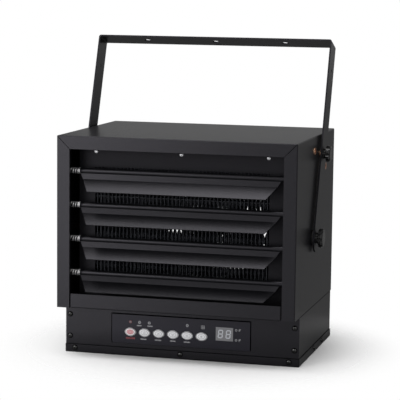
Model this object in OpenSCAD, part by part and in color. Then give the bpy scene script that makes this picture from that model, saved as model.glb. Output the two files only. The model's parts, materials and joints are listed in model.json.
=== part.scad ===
// Ceiling mounted fan heater: a sheet-metal casing with four louvres over a
// finned tube element, an axial fan behind it, a control panel in the base and
// a swivel bracket. Millimetres, up is +Z, the air leaves towards -Y.

/* [Casing] */
// Width of the hood
hood_w = 370; // [340:1:440]
// Depth of the hood, from the bezel to the rear edge
hood_d = 280; // [270:1:330]
// Height of the hood, above its seam with the base
hood_h = 262.5; // [255:0.5:300]
// Height of the base, below the seam
base_h = 77; // [70:1:100]
// How far the base stands back behind the bezel
base_setback = 40; // [25:1:50]
// Thickness of the casing's sheet
sheet_t = 1; // [0.8:0.1:1.4]
// Outer radius of the sheet's bends
bend_r = 1.8; // [1.5:0.1:3]
// Width of the bezel's side flanges
bezel_side_w = 20; // [16:0.5:24]
// Height of the bezel's top flange
bezel_top_h = 20; // [14:0.5:24]
// Depth of the fold behind the bezel's inner edges
bezel_return = 8; // [4:0.5:10]
// Width of the mitre seams in the bezel
mitre_gap = 0.8; // [0.4:0.1:1.5]
// Height of the rail below the louvres
rail_h = 22; // [14:0.5:22.5]
// Gap between each end of the rail and the bezel
rail_gap = 1.1; // [0.8:0.1:3]
// Height of the tray's upturned rim
tray_rim_h = 12.5; // [10:0.5:15]
// Gap left between sheets that slide together
sheet_gap = 0.2; // [0.1:0.05:0.4]

/* [Control panel] */
// Width of the recess for the label
recess_w = 221; // [210:1:260]
// Height of the recess
recess_h = 47; // [44:0.5:50]
// Distance of the recess below the seam
recess_drop = 11; // [8:0.5:12]
// Depth of the recess
recess_depth = 2; // [1:0.1:3]
// Corner radius of the recess
recess_r = 3; // [1:0.5:5]
// Thickness of the label
label_t = 0.4; // [0.2:0.1:0.6]
// Width of a button
button_w = 17.7; // [15:0.1:19]
// Height of a button
button_h = 12.6; // [10:0.1:13.6]
// End radius of a button's oval
button_end_r = 4.5; // [4:0.1:4.8]
// Distance between buttons
button_pitch = 22.6; // [21:0.1:24]
// Centre of the first button, left of the middle
button_left = 80.3; // [78:0.1:84]
// Centre of the buttons below the recess's top
button_drop = 28.8; // [24:0.1:32]
// How far a button stands out from the label
button_proud = 1.8; // [1.2:0.1:3]
// Travel of a button
button_travel = 0.8; // [0.4:0.1:1]
// Gap round a button in its hole
button_gap = 0.3; // [0.25:0.05:0.5]
// Width of the display
display_w = 27; // [22:0.5:30]
// Height of the display
display_h = 20.6; // [16:0.1:22]
// Centre of the display, right of the middle
display_right = 68.3; // [62:0.1:78]
// Centre of the display below the recess's top
display_drop = 22.9; // [18:0.1:26]
// Height of a digit
digit_h = 13; // [9:0.5:15]
// Width of a digit
digit_w = 7.6; // [5:0.1:9]
// Slant of the digits, in degrees
digit_slant = 6; // [0:1:10]
// Diameter of an indicator light
lamp_d = 3; // [2:0.1:4]
// Centre of the indicator lights below the recess's top
lamp_drop = 13.3; // [10:0.1:14]

/* [Louvres] */
// Distance of the first pivot below the hood's top
louvre_drop = 54.5; // [50:0.5:58]
// Distance between pivots
louvre_pitch = 52.1; // [48:0.1:53]
// Distance of the pivots behind the bezel's face
louvre_back = 22; // [20:0.5:26]
// Length of a louvre's flat along its top
louvre_w = 314; // [300:1:318]
// How far a bead stops short of the louvre's left end, beside its spring
bead_notch = 6; // [4:0.5:10]
// Slant of a bead's left end, in degrees
bead_slant = 36; // [20:1:45]
// How far a bead runs past the flat's right end
bead_run = 6; // [2:0.5:8]
// Length of a louvre's lower edge
louvre_edge_w = 276; // [240:1:300]
// Thickness of a louvre
louvre_t = 1.1; // [0.8:0.1:1.3]
// Length of the flat between the pivot and the crease
louvre_flat = 13; // [10:0.5:14]
// Length of the blade beyond the crease
louvre_blade = 22.8; // [18:0.1:23]
// Bend at the crease, in degrees
louvre_crease = 26; // [10:1:35]
// Tilt of each blade from vertical, in degrees
louvre_tilts = [43, 49, 48, 54]; // [30:1:60]
// Diameter of a louvre's rod
rod_d = 6.35; // [5:0.05:7]
// Radial clearance of a rod in a louvre's bead
rod_fit = 0.06; // [0.02:0.01:0.1]
// Wire diameter of a louvre's spring
spring_wire = 1.1; // [0.8:0.1:1.2]
// Gap between a spring's inside and its rod
spring_gap = 0.4; // [0.3:0.05:0.8]
// Turns of a spring
spring_turns = 6; // [4:1:7]
// Thickness of the rails that hold the rods
rod_rail_t = 2.4; // [1.5:0.1:4]

/* [Duct and element] */
// Air channel between the duct and each side of the hood
side_channel = 24; // [22:0.5:30]
// Gap between the duct and the hood's top
duct_top_gap = 12; // [8:0.5:20]
// Distance of the duct's front panel behind the bezel's face
duct_back = 36; // [35:0.5:42]
// Depth kept behind the duct for the fan and its motor
fan_room = 90; // [88:1:104]
// Width of the front panel's opening
opening_w = 272; // [250:1:280]
// Distance of the opening's top below the hood's top
opening_drop = 49.5; // [44:0.5:56]
// Height of the front panel's opening
opening_h = 186.5; // [160:0.5:196]
// Distance between the guard's upright wires
guard_pitch = 5.9; // [5:0.1:9]
// Diameter of the guard's upright wires
guard_wire = 1.6; // [1.2:0.1:2.2]
// Diameter of an element's tube
tube_d = 8.5; // [7:0.5:9]
// Diameter of an element's fins
fin_d = 25; // [18:0.5:27]
// Thickness of a fin
fin_t = 0.5; // [0.4:0.1:1]
// Distance between fins
fin_pitch = 6.5; // [4:0.5:10]
// Length of the finned stretch
fin_span = 261; // [200:1:262]
// Distance between the two legs of an element
leg_pitch = 48; // [34:0.5:50]
// Distance of a front element's middle below its louvre's pivot
hairpin_drop = 20; // [14:0.5:26]
// Distance between the two rows of elements
row_pitch = 32; // [28:0.5:36]

/* [Fan] */
// Diameter of the fan
fan_d = 208; // [170:1:210]
// Number of blades
blade_count = 5; // [3:1:6]
// Width of a blade at its widest
blade_w = 70; // [50:1:74]
// Pitch of a blade, in degrees
blade_pitch = 22; // [16:1:28]
// Thickness of a blade
blade_t = 1.2; // [0.8:0.1:2]
// Gap between the blades' tips and the shroud
tip_gap = 4; // [3:0.5:6]
// Diameter of the motor's shaft
shaft_d = 8; // [6:0.5:10]
// Radial clearance of the shaft in the motor
shaft_fit = 0.05; // [0.02:0.01:0.1]
// Diameter of the motor
motor_d = 90; // [76:1:96]
// Length of the motor's body
motor_l = 44; // [34:1:46]
// Diameter of the air inlet in the rear panel
inlet_d = 228; // [200:1:234]
// Distance between the rear guard's rings
ring_pitch = 11; // [8:0.5:16]
// Wire diameter of the rear guard
ring_wire = 2.4; // [2:0.1:3]

/* [Bracket] */
// Gap between the hood's side and a bracket's arm
arm_gap = 3; // [2:0.1:4]
// Width of the bracket's bar
bar_w = 36; // [28:1:42]
// Thickness of the bracket's bar
bar_t = 2.5; // [2:0.1:4]
// Inner radius of the bracket's bends
bar_bend_r = 1; // [0.5:0.5:6]
// Length of an arm, from the pivot to the outer face of the top bar
arm_l = 312; // [280:1:350]
// Length by which an arm's round end is set out past the pivot
arm_tail = 4; // [0:0.5:8]
// Distance of the pivot behind the bezel's face
pivot_back = 125.4; // [110:0.2:140]
// Distance of the pivot below the hood's top
pivot_drop = 155.2; // [146:0.1:166]
// Lean of the bracket from vertical, in degrees
bracket_lean = 20; // [10:1:28]
// Radius of the ring of locking inserts round the pivot
lock_r = 133; // [115:1:138]
// Angle between locking inserts
lock_step = 20; // [15:0.5:24]
// Diameter of the holes in the top bar
bar_hole_d = 11; // [6:0.5:14]
// Distance between the holes in the top bar
bar_hole_pitch = 113; // [80:1:130]
// Diameter of the spare hole in each arm
arm_hole_d = 5; // [3:0.5:8]
// Distance of the spare hole below the top bar's outer face
arm_hole_drop = 46; // [30:1:80]
// Diameter of the pivot knobs
pivot_knob_d = 29; // [24:0.5:34]
// Diameter of the locking knobs
lock_knob_d = 25; // [20:0.5:28]
// Thickness of the knobs
knob_t = 10; // [8:0.5:16]
// Diameter of the knobs' screws
knob_screw_d = 6; // [5:0.5:7]
// Radial clearance of the knobs' screws
knob_fit = 0.06; // [0.02:0.01:0.1]
// Diameter of an insert's flange
insert_flange_d = 11; // [10:0.5:13]
// Length of an insert's body behind its flange
insert_l = 11; // [7:0.5:12]

/* [Fasteners and inlet] */
// Head diameter of the casing screws
screw_head_d = 7; // [5:0.5:8]
// Shank diameter of the casing screws
screw_d = 3.6; // [3:0.1:4]
// Diameter of the cable bush's bore
cable_d = 11; // [8:0.5:13]

/* [Hidden] */
$fn = 64;

// Finishes
black_satin = [0.12, 0.12, 0.13];
black_deep = [0.06, 0.06, 0.07];
steel = [0.78, 0.78, 0.78];
brass = [0.80, 0.55, 0.30];
aluminium = [0.66, 0.67, 0.68];
sheath = [0.30, 0.32, 0.30];

// Planes of the casing
y_front = -hood_d / 2;
y_rear = hood_d / 2;
z_seam = base_h;
z_top = base_h + hood_h;
half_w = hood_w / 2;
in_half_w = half_w - sheet_t;
mouth_half_w = half_w - bezel_side_w;
mouth_top = z_top - bezel_top_h;
floor_top = z_seam + sheet_t;
z_mid = z_seam + hood_h / 2;

// Base
y_base = y_front + base_setback;
base_half_w = in_half_w;
flange_w = 15;
base_back = y_rear;

// Control panel
recess_top = z_seam - recess_drop;
recess_floor_y = y_base + recess_depth;
label_y = recess_floor_y - label_t;
button_z = recess_top - button_drop;
button_y = label_y - button_proud;
stem_d = 4;
stem_end_y = recess_floor_y + sheet_t + 7;
switch_y = stem_end_y + button_travel + 0.2;
switch_t = 4;
board_y = switch_y + switch_t;
board_t = 1.6;
display_z = recess_top - display_drop;
lamp_z = recess_top - lamp_drop;
lamp_x = [button_x(0), button_x(0) + 14.6, button_x(0) + 30.2, button_x(4)];

// Louvres
louvre_y = y_front + louvre_back;
bead_r = rod_d / 2 + rod_fit + louvre_t;
function louvre_z(i) = z_top - louvre_drop - i * louvre_pitch;
bead_x0 = -louvre_w / 2 + bead_notch;
bead_x1 = louvre_w / 2 + bead_run;
bead_low_x = bead_x0 - bead_r * tan(bead_slant);
rail_x = in_half_w - rod_rail_t;
rod_end_gap = 0.4;
louvre_end_gap = 0.3;
spring_r = rod_d / 2 + spring_gap + spring_wire / 2;

// Duct
duct_y0 = y_front + duct_back;
duct_y1 = y_rear - fan_room;
duct_w = hood_w - 2 * side_channel;
duct_wall = sheet_t;
duct_low = floor_top;
duct_top = z_top - duct_top_gap;
opening_top = z_top - opening_drop;
opening_low = opening_top - opening_h;
element_y = duct_y0 + 24;
rear_row_y = element_y + row_pitch;
bend_x = -(duct_w / 2 - duct_wall - 0.5 - leg_pitch / 2 - tube_d / 2);
end_plate_x = -bend_x - 0.7;
leg_gap = 0.15;
function leg_pair(middle) = [middle + leg_pitch / 2, middle - leg_pitch / 2];
upper_legs = leg_pair(louvre_z(0) - hairpin_drop - z_mid);
lower_legs = leg_pair(louvre_z(2) - hairpin_drop - z_mid);
rear_legs = leg_pair(louvre_z(1) - z_mid);

// Fan
fan_y = duct_y1 + 13;
shroud_r = fan_d / 2 + tip_gap;
shroud_t = 1.5;
shroud_depth = 14;
hub_r = 11;
spider_r = 30;
motor_y = fan_y + 22;
mount_t = 2;
mount_foot_r = shroud_r + 14;
arm_angles = [45, 135, 225, 315];
mount_arm_w = 14;

// Rear guard
guard_screw_r = inlet_d / 2 + 6;
rib_d = ring_wire + 0.8;

// Bracket
pivot_y = y_front + pivot_back;
pivot_z = z_top - pivot_drop;
arm_in_x = half_w + arm_gap;
arm_out_x = arm_in_x + bar_t;
lock_angles = [-lock_step, 0, lock_step];
insert_flange_t = 0.8;
insert_wall = 1.2;
insert_r = knob_screw_d / 2 + knob_fit + insert_wall;
washer_t = 1;
knob_x = arm_out_x + washer_t + 0.1;

// Screws
screw_head_t = 2.2;
screw_gap = 0.15;
screw_l = 8;
fascia_screw_x = base_half_w - 7;
fascia_screw_z = [z_seam - 17.5, z_seam - 51.5];
tray_screw_z = tray_rim_h * 0.6;
tray_screw_x = [-169, 0, 169];
tray_side_y = [y_base + 110, y_base + 170];
inner_screw_x = [-134.5, 0, 134.5];
inner_screw_z = z_top - 26;
inner_flange_w = 14;
rear_screw_x = [-half_w + 8, half_w - 8];
rear_screw_z = [z_seam + 20, z_mid, z_top - 20];
rear_low_screw_x = [-70, 70];
seam_screw_x = base_half_w - 8;
seam_screw_y = [y_base + 40, y_base + 120, y_base + 200];
rear_flange_w = 15;

// ---------------------------------------------------------------- helpers

// Box from its low corner to its high corner
module span(low, high) {
    translate(low) cube(high - low);
}

// Round bars along each axis, from one end to the other
module bar_x(r, x0, x1, y, z) {
    translate([x0, y, z]) rotate([0, 90, 0]) cylinder(r = r, h = x1 - x0);
}
module bar_y(r, y0, y1, x, z) {
    translate([x, y0, z]) rotate([-90, 0, 0]) cylinder(r = r, h = y1 - y0);
}
module bar_z(r, z0, z1, x, y) {
    translate([x, y, z0]) cylinder(r = r, h = z1 - z0);
}

// Rectangle with its two upper corners rounded, centred on x
module top_rounded(w, low, high, r) {
    translate([-w / 2, low]) square([w, high - low - r]);
    translate([-w / 2 + r, high - 2 * r]) square([w - 2 * r, 2 * r]);
    for (s = [-1, 1]) translate([s * (w / 2 - r), high - r]) circle(r);
}

// Rectangle with all corners rounded, centred
module rounded_rect(w, h, r) {
    square([w - 2 * r, h], center = true);
    square([w, h - 2 * r], center = true);
    for (s = [-1, 1], t = [-1, 1]) translate([s * (w / 2 - r), t * (h / 2 - r)]) circle(r);
}

// Block with rounded upright front edges, top side edges and top front edge
module bent_block(w, front, back, low, high, r) {
    intersection() {
        translate([0, back, 0]) rotate([90, 0, 0]) linear_extrude(back - front) top_rounded(w, low, high, r);
        translate([0, back, low]) rotate([0, 0, 180]) linear_extrude(high - low) top_rounded(w, 0, back - front, r);
        rotate([90, 0, 90]) linear_extrude(w, center = true) {
            translate([front + r, low]) square([back - front - r, high - low]);
            translate([front, low]) square([2 * r, high - low - r]);
            translate([front + r, high - r]) circle(r);
        }
    }
}

// Block with rounded upright front edges and a rounded lower edge all round the front and sides
module tray_block(w, front, back, low, high, r) {
    translate([0, 0, low + high]) mirror([0, 0, 1]) bent_block(w, front, back, low, high, r);
}

// Pan-head screw with a cross recess, its head on z = 0 and its shank down -z
module screw(l = screw_l, head_d = screw_head_d, d = screw_d) {
    difference() {
        union() {
            intersection() {
                cylinder(d = head_d, h = screw_head_t);
                translate([0, 0, screw_head_t - head_d * 0.8]) sphere(r = head_d * 0.8);
            }
            translate([0, 0, -l]) cylinder(d = d, h = l);
        }
        for (a = [0, 90]) rotate([0, 0, a]) translate([-head_d * 0.3, -0.5, screw_head_t - 1]) cube([head_d * 0.6, 1, 2]);
    }
}

// Children with their z axis turned to face forwards, backwards or sideways
module face_front() { rotate([90, 0, 0]) children(); }
module face_back() { rotate([-90, 0, 0]) children(); }
module face_side(s) { rotate([0, s * 90, 0]) children(); }

// Children on the fan's axis, their z axis towards the rear
module on_fan_axis(y) {
    translate([0, y, z_mid]) rotate([-90, 0, 0]) children();
}

// Children in the bracket's frame: origin at the pivot, z along the arms
module in_bracket() {
    translate([0, pivot_y, pivot_z]) rotate([-bracket_lean, 0, 0]) children();
}

// ----------------------------------------------------------------- casing

module insert_holes() {
    in_bracket() {
        face_side(1) cylinder(r = insert_r + 0.05, h = hood_w + 2, center = true);
        for (a = lock_angles) rotate([-a, 0, 0]) translate([0, 0, lock_r])
            face_side(1) cylinder(r = insert_r + 0.05, h = hood_w + 2, center = true);
    }
}

module mitre(s) {
    reach = sqrt(bezel_side_w * bezel_side_w + bezel_top_h * bezel_top_h);
    angle = atan2(bezel_top_h, bezel_side_w);
    translate([s * mouth_half_w, y_front - 1, mouth_top]) rotate([0, s > 0 ? -angle : angle - 180, 0])
        translate([-1, 0, -mitre_gap / 2]) cube([reach + 3, sheet_t + 1, mitre_gap]);
}

module hood() {
    color(black_satin) {
        difference() {
            bent_block(hood_w, y_front, y_rear, z_seam, z_top, bend_r);
            bent_block(2 * in_half_w, y_front + sheet_t, y_rear - sheet_t, z_seam - 1, z_top - sheet_t, bend_r - sheet_t);
            span([-half_w + rear_flange_w, y_rear - 2, z_seam - 1], [half_w - rear_flange_w, y_rear + 1, z_top - rear_flange_w]);
            for (x = rear_screw_x, z = rear_screw_z) bar_y(screw_d / 2 + screw_gap, y_rear - 2, y_rear + 1, x, z);
            span([-mouth_half_w, y_front - 1, z_seam - 1], [mouth_half_w, y_front + sheet_t + 1, mouth_top]);
            for (s = [-1, 1]) mitre(s);
            insert_holes();
        }
        // Folds behind the bezel's inner edges
        for (s = [-1, 1]) translate([s * (mouth_half_w + sheet_t / 2), 0, 0])
            span([-sheet_t / 2, y_front + sheet_t, z_seam], [sheet_t / 2, y_front + bezel_return, mouth_top - mitre_gap]);
        span([-mouth_half_w, y_front + sheet_t, mouth_top], [mouth_half_w, y_front + bezel_return, mouth_top + sheet_t]);
    }
}

module floor_pan() {
    rail_half_w = mouth_half_w - rail_gap;
    floor_half_w = in_half_w - sheet_gap;
    front = y_front + bezel_return + 0.4;
    upstand_half_w = half_w - rear_flange_w - 0.4;
    color(black_satin) difference() {
        union() {
            // Rail, bent up from the floor's front edge
            difference() {
                tray_block(2 * rail_half_w, y_front, front + 2, z_seam, z_seam + rail_h, bend_r);
                span([-rail_half_w - 1, y_front + sheet_t, floor_top], [rail_half_w + 1, front + 3, z_seam + rail_h + 1]);
            }
            span([-floor_half_w, front, z_seam], [floor_half_w, y_rear - sheet_t - sheet_gap, floor_top]);
            // Rear edge, bent up for the rear panel's screws
            span([-upstand_half_w, y_rear - 2 * sheet_t, z_seam], [upstand_half_w, y_rear, floor_top]);
            span([-upstand_half_w, y_rear - sheet_t, z_seam], [upstand_half_w, y_rear, floor_top + 13]);
        }
        for (x = rear_low_screw_x) bar_y(screw_d / 2 + screw_gap, y_rear - 2, y_rear + 1, x, floor_top + 7);
        for (x = [-1, 1], y = seam_screw_y) bar_z(screw_d / 2 + screw_gap, z_seam - 1, floor_top + 1, x * seam_screw_x, y);
        // Wire pass
        bar_z(12, z_seam - 1, floor_top + 1, in_half_w - 40, y_front + 150);
    }
}

module base_shell() {
    side_top = z_seam - sheet_gap;
    low = sheet_t + sheet_gap;
    front = y_base + sheet_t + sheet_gap;
    color(black_satin) difference() {
        union() {
            for (s = [-1, 1]) mirror([s < 0 ? 1 : 0, 0, 0]) {
                span([base_half_w - sheet_t, front, low], [base_half_w, base_back, side_top]);
                span([base_half_w - flange_w, front, low], [base_half_w, front + sheet_t, side_top]);
                span([base_half_w - flange_w, front, side_top - sheet_t], [base_half_w, base_back, side_top]);
            }
            span([-base_half_w, base_back - sheet_t, low], [base_half_w, base_back, side_top]);
        }
        for (x = [-1, 1], z = fascia_screw_z)
            bar_y(screw_d / 2 + screw_gap, y_base, front + 4, x * fascia_screw_x, z);
        for (x = tray_screw_x) bar_y(screw_d / 2 + screw_gap, y_base, front + 6, x, tray_screw_z);
        for (y = tray_side_y) bar_x(screw_d / 2 + screw_gap, -half_w - 1, half_w + 1, y, tray_screw_z);
        for (x = [-1, 1], y = seam_screw_y) bar_z(screw_d / 2 + screw_gap, side_top - 2, side_top + 1, x * seam_screw_x, y);
        bar_y(cable_d / 2 + 3.6, base_back - 3, base_back + 1, bush_x, bush_z);
        bar_y(2.2, base_back - 3, base_back + 1, earth_x, bush_z);
    }
}

bush_x = -120;
bush_z = base_h / 2;
earth_x = bush_x + 34;

// Outline of a button: an oval of four arcs that meet smoothly
module oval(w, h, end_r) {
    c = w / 2 - end_r;
    e = h / 2 - end_r;
    k = (c * c - e * e) / (2 * e);
    big_r = h / 2 + k;
    turn = atan2(c, k);
    tip_x = big_r * sin(turn);
    tip_y = big_r * cos(turn) - k;
    for (s = [-1, 1]) translate([s * c, 0]) circle(end_r);
    intersection() {
        translate([0, -k]) circle(big_r);
        translate([0, k]) circle(big_r);
        square([2 * tip_x, h + 1], center = true);
    }
}

function button_x(i) = -button_left + i * button_pitch;

module button_ovals(grow) {
    for (i = [0:5]) translate([button_x(i), button_z])
        oval(button_w + 2 * grow, button_h + 2 * grow, button_end_r + grow);
}

module control_fascia() {
    low = sheet_t + sheet_gap;
    recess_z = recess_top - recess_h / 2;
    color(black_satin) difference() {
        union() {
            span([-base_half_w, y_base, low], [base_half_w, y_base + sheet_t, z_seam - sheet_gap]);
            translate([0, recess_floor_y + sheet_t, recess_z]) face_front()
                linear_extrude(recess_depth + sheet_t) rounded_rect(recess_w + 2 * sheet_t, recess_h + 2 * sheet_t, recess_r + sheet_t);
        }
        translate([0, recess_floor_y, recess_z]) face_front()
            linear_extrude(recess_depth + 1) rounded_rect(recess_w, recess_h, recess_r);
        translate([0, recess_floor_y + sheet_t + 1, 0]) face_front()
            linear_extrude(sheet_t + 2) button_ovals(button_gap);
        translate([0, recess_floor_y + sheet_t + 1, 0]) face_front() linear_extrude(sheet_t + 2)
            translate([display_right, display_z]) square([display_w + 0.4, display_h + 0.4], center = true);
        for (x = lamp_x) bar_y(lamp_d / 2 + 0.15, recess_floor_y - 1, recess_floor_y + sheet_t + 1, x, lamp_z);
        for (x = [-1, 1], z = fascia_screw_z)
            bar_y(screw_d / 2 + screw_gap, y_base - 1, y_base + 4, x * fascia_screw_x, z);
        for (x = tray_screw_x) bar_y(screw_d / 2 + screw_gap, y_base - 1, y_base + 4, x, tray_screw_z);
    }
}

module bottom_tray() {
    color(black_satin) difference() {
        tray_block(hood_w, y_base - sheet_t, base_back + sheet_t, 0, tray_rim_h, bend_r);
        span([-base_half_w - 0.01, y_base - 0.01, sheet_t], [base_half_w + 0.01, base_back + 0.01, tray_rim_h + 1]);
        for (x = tray_screw_x) bar_y(screw_d / 2 + screw_gap, y_base - 3, y_base + 1, x, tray_screw_z);
        for (y = tray_side_y) bar_x(screw_d / 2 + screw_gap, -half_w - 1, half_w + 1, y, tray_screw_z);
    }
}

module rear_panel() {
    w = half_w - 2.5;
    color(black_satin) difference() {
        union() {
            span([-w, y_rear, z_seam + 1], [w, y_rear + sheet_t, z_top - 2.5]);
            // Collar pressed inwards round the inlet
            bar_y(inlet_d / 2 + sheet_t, y_rear - 5, y_rear + sheet_t, 0, z_mid);
        }
        bar_y(inlet_d / 2, y_rear - 6, y_rear + 2, 0, z_mid);
        for (x = rear_screw_x, z = rear_screw_z) bar_y(screw_d / 2 + screw_gap, y_rear - 1, y_rear + 2, x, z);
        for (x = rear_low_screw_x) bar_y(screw_d / 2 + screw_gap, y_rear - 1, y_rear + 2, x, floor_top + 7);
        for (a = arm_angles) on_fan_axis(y_rear - 5) rotate([0, 0, a]) translate([guard_screw_r, 0, 0])
            cylinder(r = 1.7, h = 8);
    }
}

module rear_guard() {
    rings = floor((inlet_d / 2 + 2 - motor_d * 0.2) / ring_pitch);
    back = y_rear + sheet_t + 0.05;
    rib_y = back + rib_d / 2;
    ring_y = rib_y + rib_d / 2 + ring_wire / 2 - 0.6;
    color(black_satin) {
        for (i = [0:rings - 1]) on_fan_axis(ring_y)
            rotate_extrude() translate([inlet_d / 2 + 2 - i * ring_pitch, 0]) circle(d = ring_wire);
        for (a = arm_angles) on_fan_axis(0) rotate([0, 0, a]) {
            translate([0, 0, rib_y]) rotate([0, 90, 0]) cylinder(d = rib_d, h = guard_screw_r - 3);
            difference() {
                translate([0, 0, back]) linear_extrude(1.4) {
                    translate([guard_screw_r, 0]) circle(5);
                    translate([guard_screw_r - 10, -5]) square([10, 10]);
                }
                translate([guard_screw_r, 0, y_rear - 1]) cylinder(r = 1.8, h = 6);
            }
        }
    }
}

// ----------------------------------------------------------- duct and guard

module inner_panel() {
    color(black_satin) difference() {
        span([-duct_w / 2, duct_y0, duct_low], [duct_w / 2, duct_y0 + sheet_t, duct_top]);
        span([-opening_w / 2, duct_y0 - 1, opening_low], [opening_w / 2, duct_y0 + sheet_t + 1, opening_top]);
        for (x = inner_screw_x) bar_y(screw_d / 2 + screw_gap, duct_y0 - 1, duct_y0 + 3, x, inner_screw_z);
    }
}

module inner_duct() {
    front = duct_y0 + sheet_t;
    color(black_satin) difference() {
        span([-duct_w / 2, front, duct_low], [duct_w / 2, duct_y1, duct_top]);
        span([-duct_w / 2 + duct_wall, front + sheet_t, duct_low + duct_wall],
             [duct_w / 2 - duct_wall, duct_y1 + 1, duct_top - duct_wall]);
        span([-duct_w / 2 + inner_flange_w, front - 1, duct_low + inner_flange_w],
             [duct_w / 2 - inner_flange_w, front + 3, duct_top - inner_flange_w - 4]);
        for (x = inner_screw_x) bar_y(screw_d / 2 + screw_gap, front - 1, front + 3, x, inner_screw_z);
        for (z = concat(upper_legs, lower_legs)) bar_x(tube_d / 2 + 0.5, duct_w / 2 - 3, duct_w / 2 + 1, element_y, z_mid + z);
        for (z = rear_legs) bar_x(tube_d / 2 + 0.5, duct_w / 2 - 3, duct_w / 2 + 1, rear_row_y, z_mid + z);
    }
}

// Upright wires welded to a flat strip above and below the opening and to two cross wires
module air_guard() {
    count = floor(opening_w / guard_pitch);
    strip_t = 1.2;
    strip_y = duct_y0 + sheet_t;
    wire_y = strip_y + strip_t + guard_wire / 2 - 0.3;
    color(steel * 0.5) {
        for (i = [0:count - 1])
            bar_z(guard_wire / 2, opening_low - 5, opening_top + 5, (i - (count - 1) / 2) * guard_pitch, wire_y);
        for (z = [opening_low - 4, opening_top + 4])
            span([-opening_w / 2 - 6, strip_y, z - 3], [opening_w / 2 + 6, strip_y + strip_t, z + 3]);
        for (z = [-37, 37])
            bar_x(1, -opening_w / 2 - 2, opening_w / 2 + 2, wire_y + guard_wire / 2 + 0.7, z_mid + z);
    }
}

// ----------------------------------------------------------------- louvres

// Side view of a louvre's sheet: it leaves the bead and is creased once
module louvre_section(tilt) {
    flat_tilt = tilt - louvre_crease;
    flat_dir = [-sin(flat_tilt), -cos(flat_tilt)];
    flat_side = [cos(flat_tilt), -sin(flat_tilt)] * louvre_t / 2;
    blade_dir = [-sin(tilt), -cos(tilt)];
    blade_side = [cos(tilt), -sin(tilt)] * louvre_t / 2;
    mid_tilt = tilt - louvre_crease / 2;
    crease_side = [cos(mid_tilt), -sin(mid_tilt)] * louvre_t / 2 / cos(louvre_crease / 2);
    start = flat_dir * (bead_r - louvre_t / 2);
    crease = flat_dir * louvre_flat;
    edge = crease + blade_dir * (louvre_blade + louvre_t / 2);
    polygon([start + flat_side, crease + crease_side, edge + blade_side,
             edge - blade_side, crease - crease_side, start - flat_side]);
}

// The sheet rolled round the rod, its left end cut on a slant
module louvre_bead() {
    difference() {
        bar_x(bead_r, bead_low_x - 1, bead_x1, 0, 0);
        bar_x(rod_d / 2 + rod_fit, bead_low_x - 2, bead_x1 + 1, 0, 0);
        translate([bead_x0, 0, 0]) rotate([0, bead_slant, 0]) span([-20, -10, -15], [0, 10, 15]);
    }
}

// Half of a louvre's sheet beyond its slanted end, as a flat shape that opens outwards
module louvre_end_cut(top_x) {
    depth = (louvre_flat + louvre_blade) * cos(louvre_crease / 2);
    top = [top_x, -bead_r * 0.8];
    run = [louvre_edge_w / 2, -depth] - top;
    high = top - run * 0.3;
    low = top + run * 1.3;
    polygon([high, low, [high[0] + 12, low[1]], [high[0] + 12, high[1]]]);
}

// The sheet's ends are cut on a slant, from the bead's underside to the lower edge
module louvre(i) {
    tilt = louvre_tilts[i];
    reach = louvre_flat + louvre_blade + 4;
    color(black_satin) translate([0, louvre_y, louvre_z(i)]) {
        louvre_bead();
        difference() {
            rotate([90, 0, 90]) linear_extrude(louvre_w + 4, center = true) louvre_section(tilt);
            for (s = [-1, 1]) mirror([s < 0 ? 1 : 0, 0, 0])
                rotate([louvre_crease / 2 - tilt, 0, 0]) rotate([90, 0, 0])
                    linear_extrude(2 * reach, center = true) louvre_end_cut(s < 0 ? -bead_low_x : louvre_w / 2);
        }
    }
}

module louvre_1() { louvre(0); }
module louvre_2() { louvre(1); }
module louvre_3() { louvre(2); }
module louvre_4() { louvre(3); }

module louvre_rods() {
    color(black_satin) for (i = [0:3])
        bar_x(rod_d / 2, -in_half_w + rod_end_gap, in_half_w - rod_end_gap, louvre_y, louvre_z(i));
}

module rod_rails() {
    high = louvre_z(0) + 16;
    low = louvre_z(3) - 16;
    color(black_satin) for (s = [-1, 1]) mirror([s < 0 ? 1 : 0, 0, 0]) difference() {
        span([rail_x, louvre_y - 10, low], [in_half_w, louvre_y + 10, high]);
        for (i = [0:3]) bar_x(rod_d / 2 + rod_fit, rail_x - 1, in_half_w + 1, louvre_y, louvre_z(i));
    }
}

module louvre_spacers() {
    color(black_deep) for (i = [0:3]) difference() {
        bar_x(bead_r, bead_x1 + louvre_end_gap, rail_x, louvre_y, louvre_z(i));
        bar_x(rod_d / 2 + 0.1, bead_x1, rail_x + 1, louvre_y, louvre_z(i));
    }
}

// Spring: a wire wound on a cylinder. Its route is drawn on the unrolled
// cylinder, as [distance along the rod, distance round the rod].
spring_rings = 8;
spring_x0 = -rail_x;
spring_x1 = bead_low_x - louvre_end_gap;
spring_bend = spring_wire;
spring_lift = (spring_x1 - spring_x0 - 2 * (spring_wire + spring_bend)) / spring_turns;
spring_round = 2 * PI * spring_r * spring_turns;
spring_run = concat(
    [[0, 0], [spring_wire, 0]],
    [for (a = [30, 60]) [spring_wire + spring_bend * sin(a), spring_bend * (1 - cos(a))]],
    [for (k = [0:spring_turns * spring_rings])
        [spring_wire + spring_bend + spring_lift * k / spring_rings,
         spring_bend + spring_round * k / (spring_turns * spring_rings)]],
    [for (a = [60, 30]) [spring_x1 - spring_x0 - spring_wire - spring_bend * sin(a),
                         spring_round + spring_bend * (1 + cos(a))]],
    [[spring_x1 - spring_x0 - spring_wire, spring_round + 2 * spring_bend],
     [spring_x1 - spring_x0, spring_round + 2 * spring_bend]]
);
function on_rod(p) = let (a = 90 + p[1] / spring_r * 180 / PI)
    [spring_x0 + p[0], spring_r * cos(a), spring_r * sin(a)];
spring_path = [for (p = spring_run) on_rod(p)];
function unit(v) = v / norm(v);
function tangent(i) = unit(spring_path[min(i + 1, len(spring_path) - 1)] - spring_path[max(i - 1, 0)]);
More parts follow.
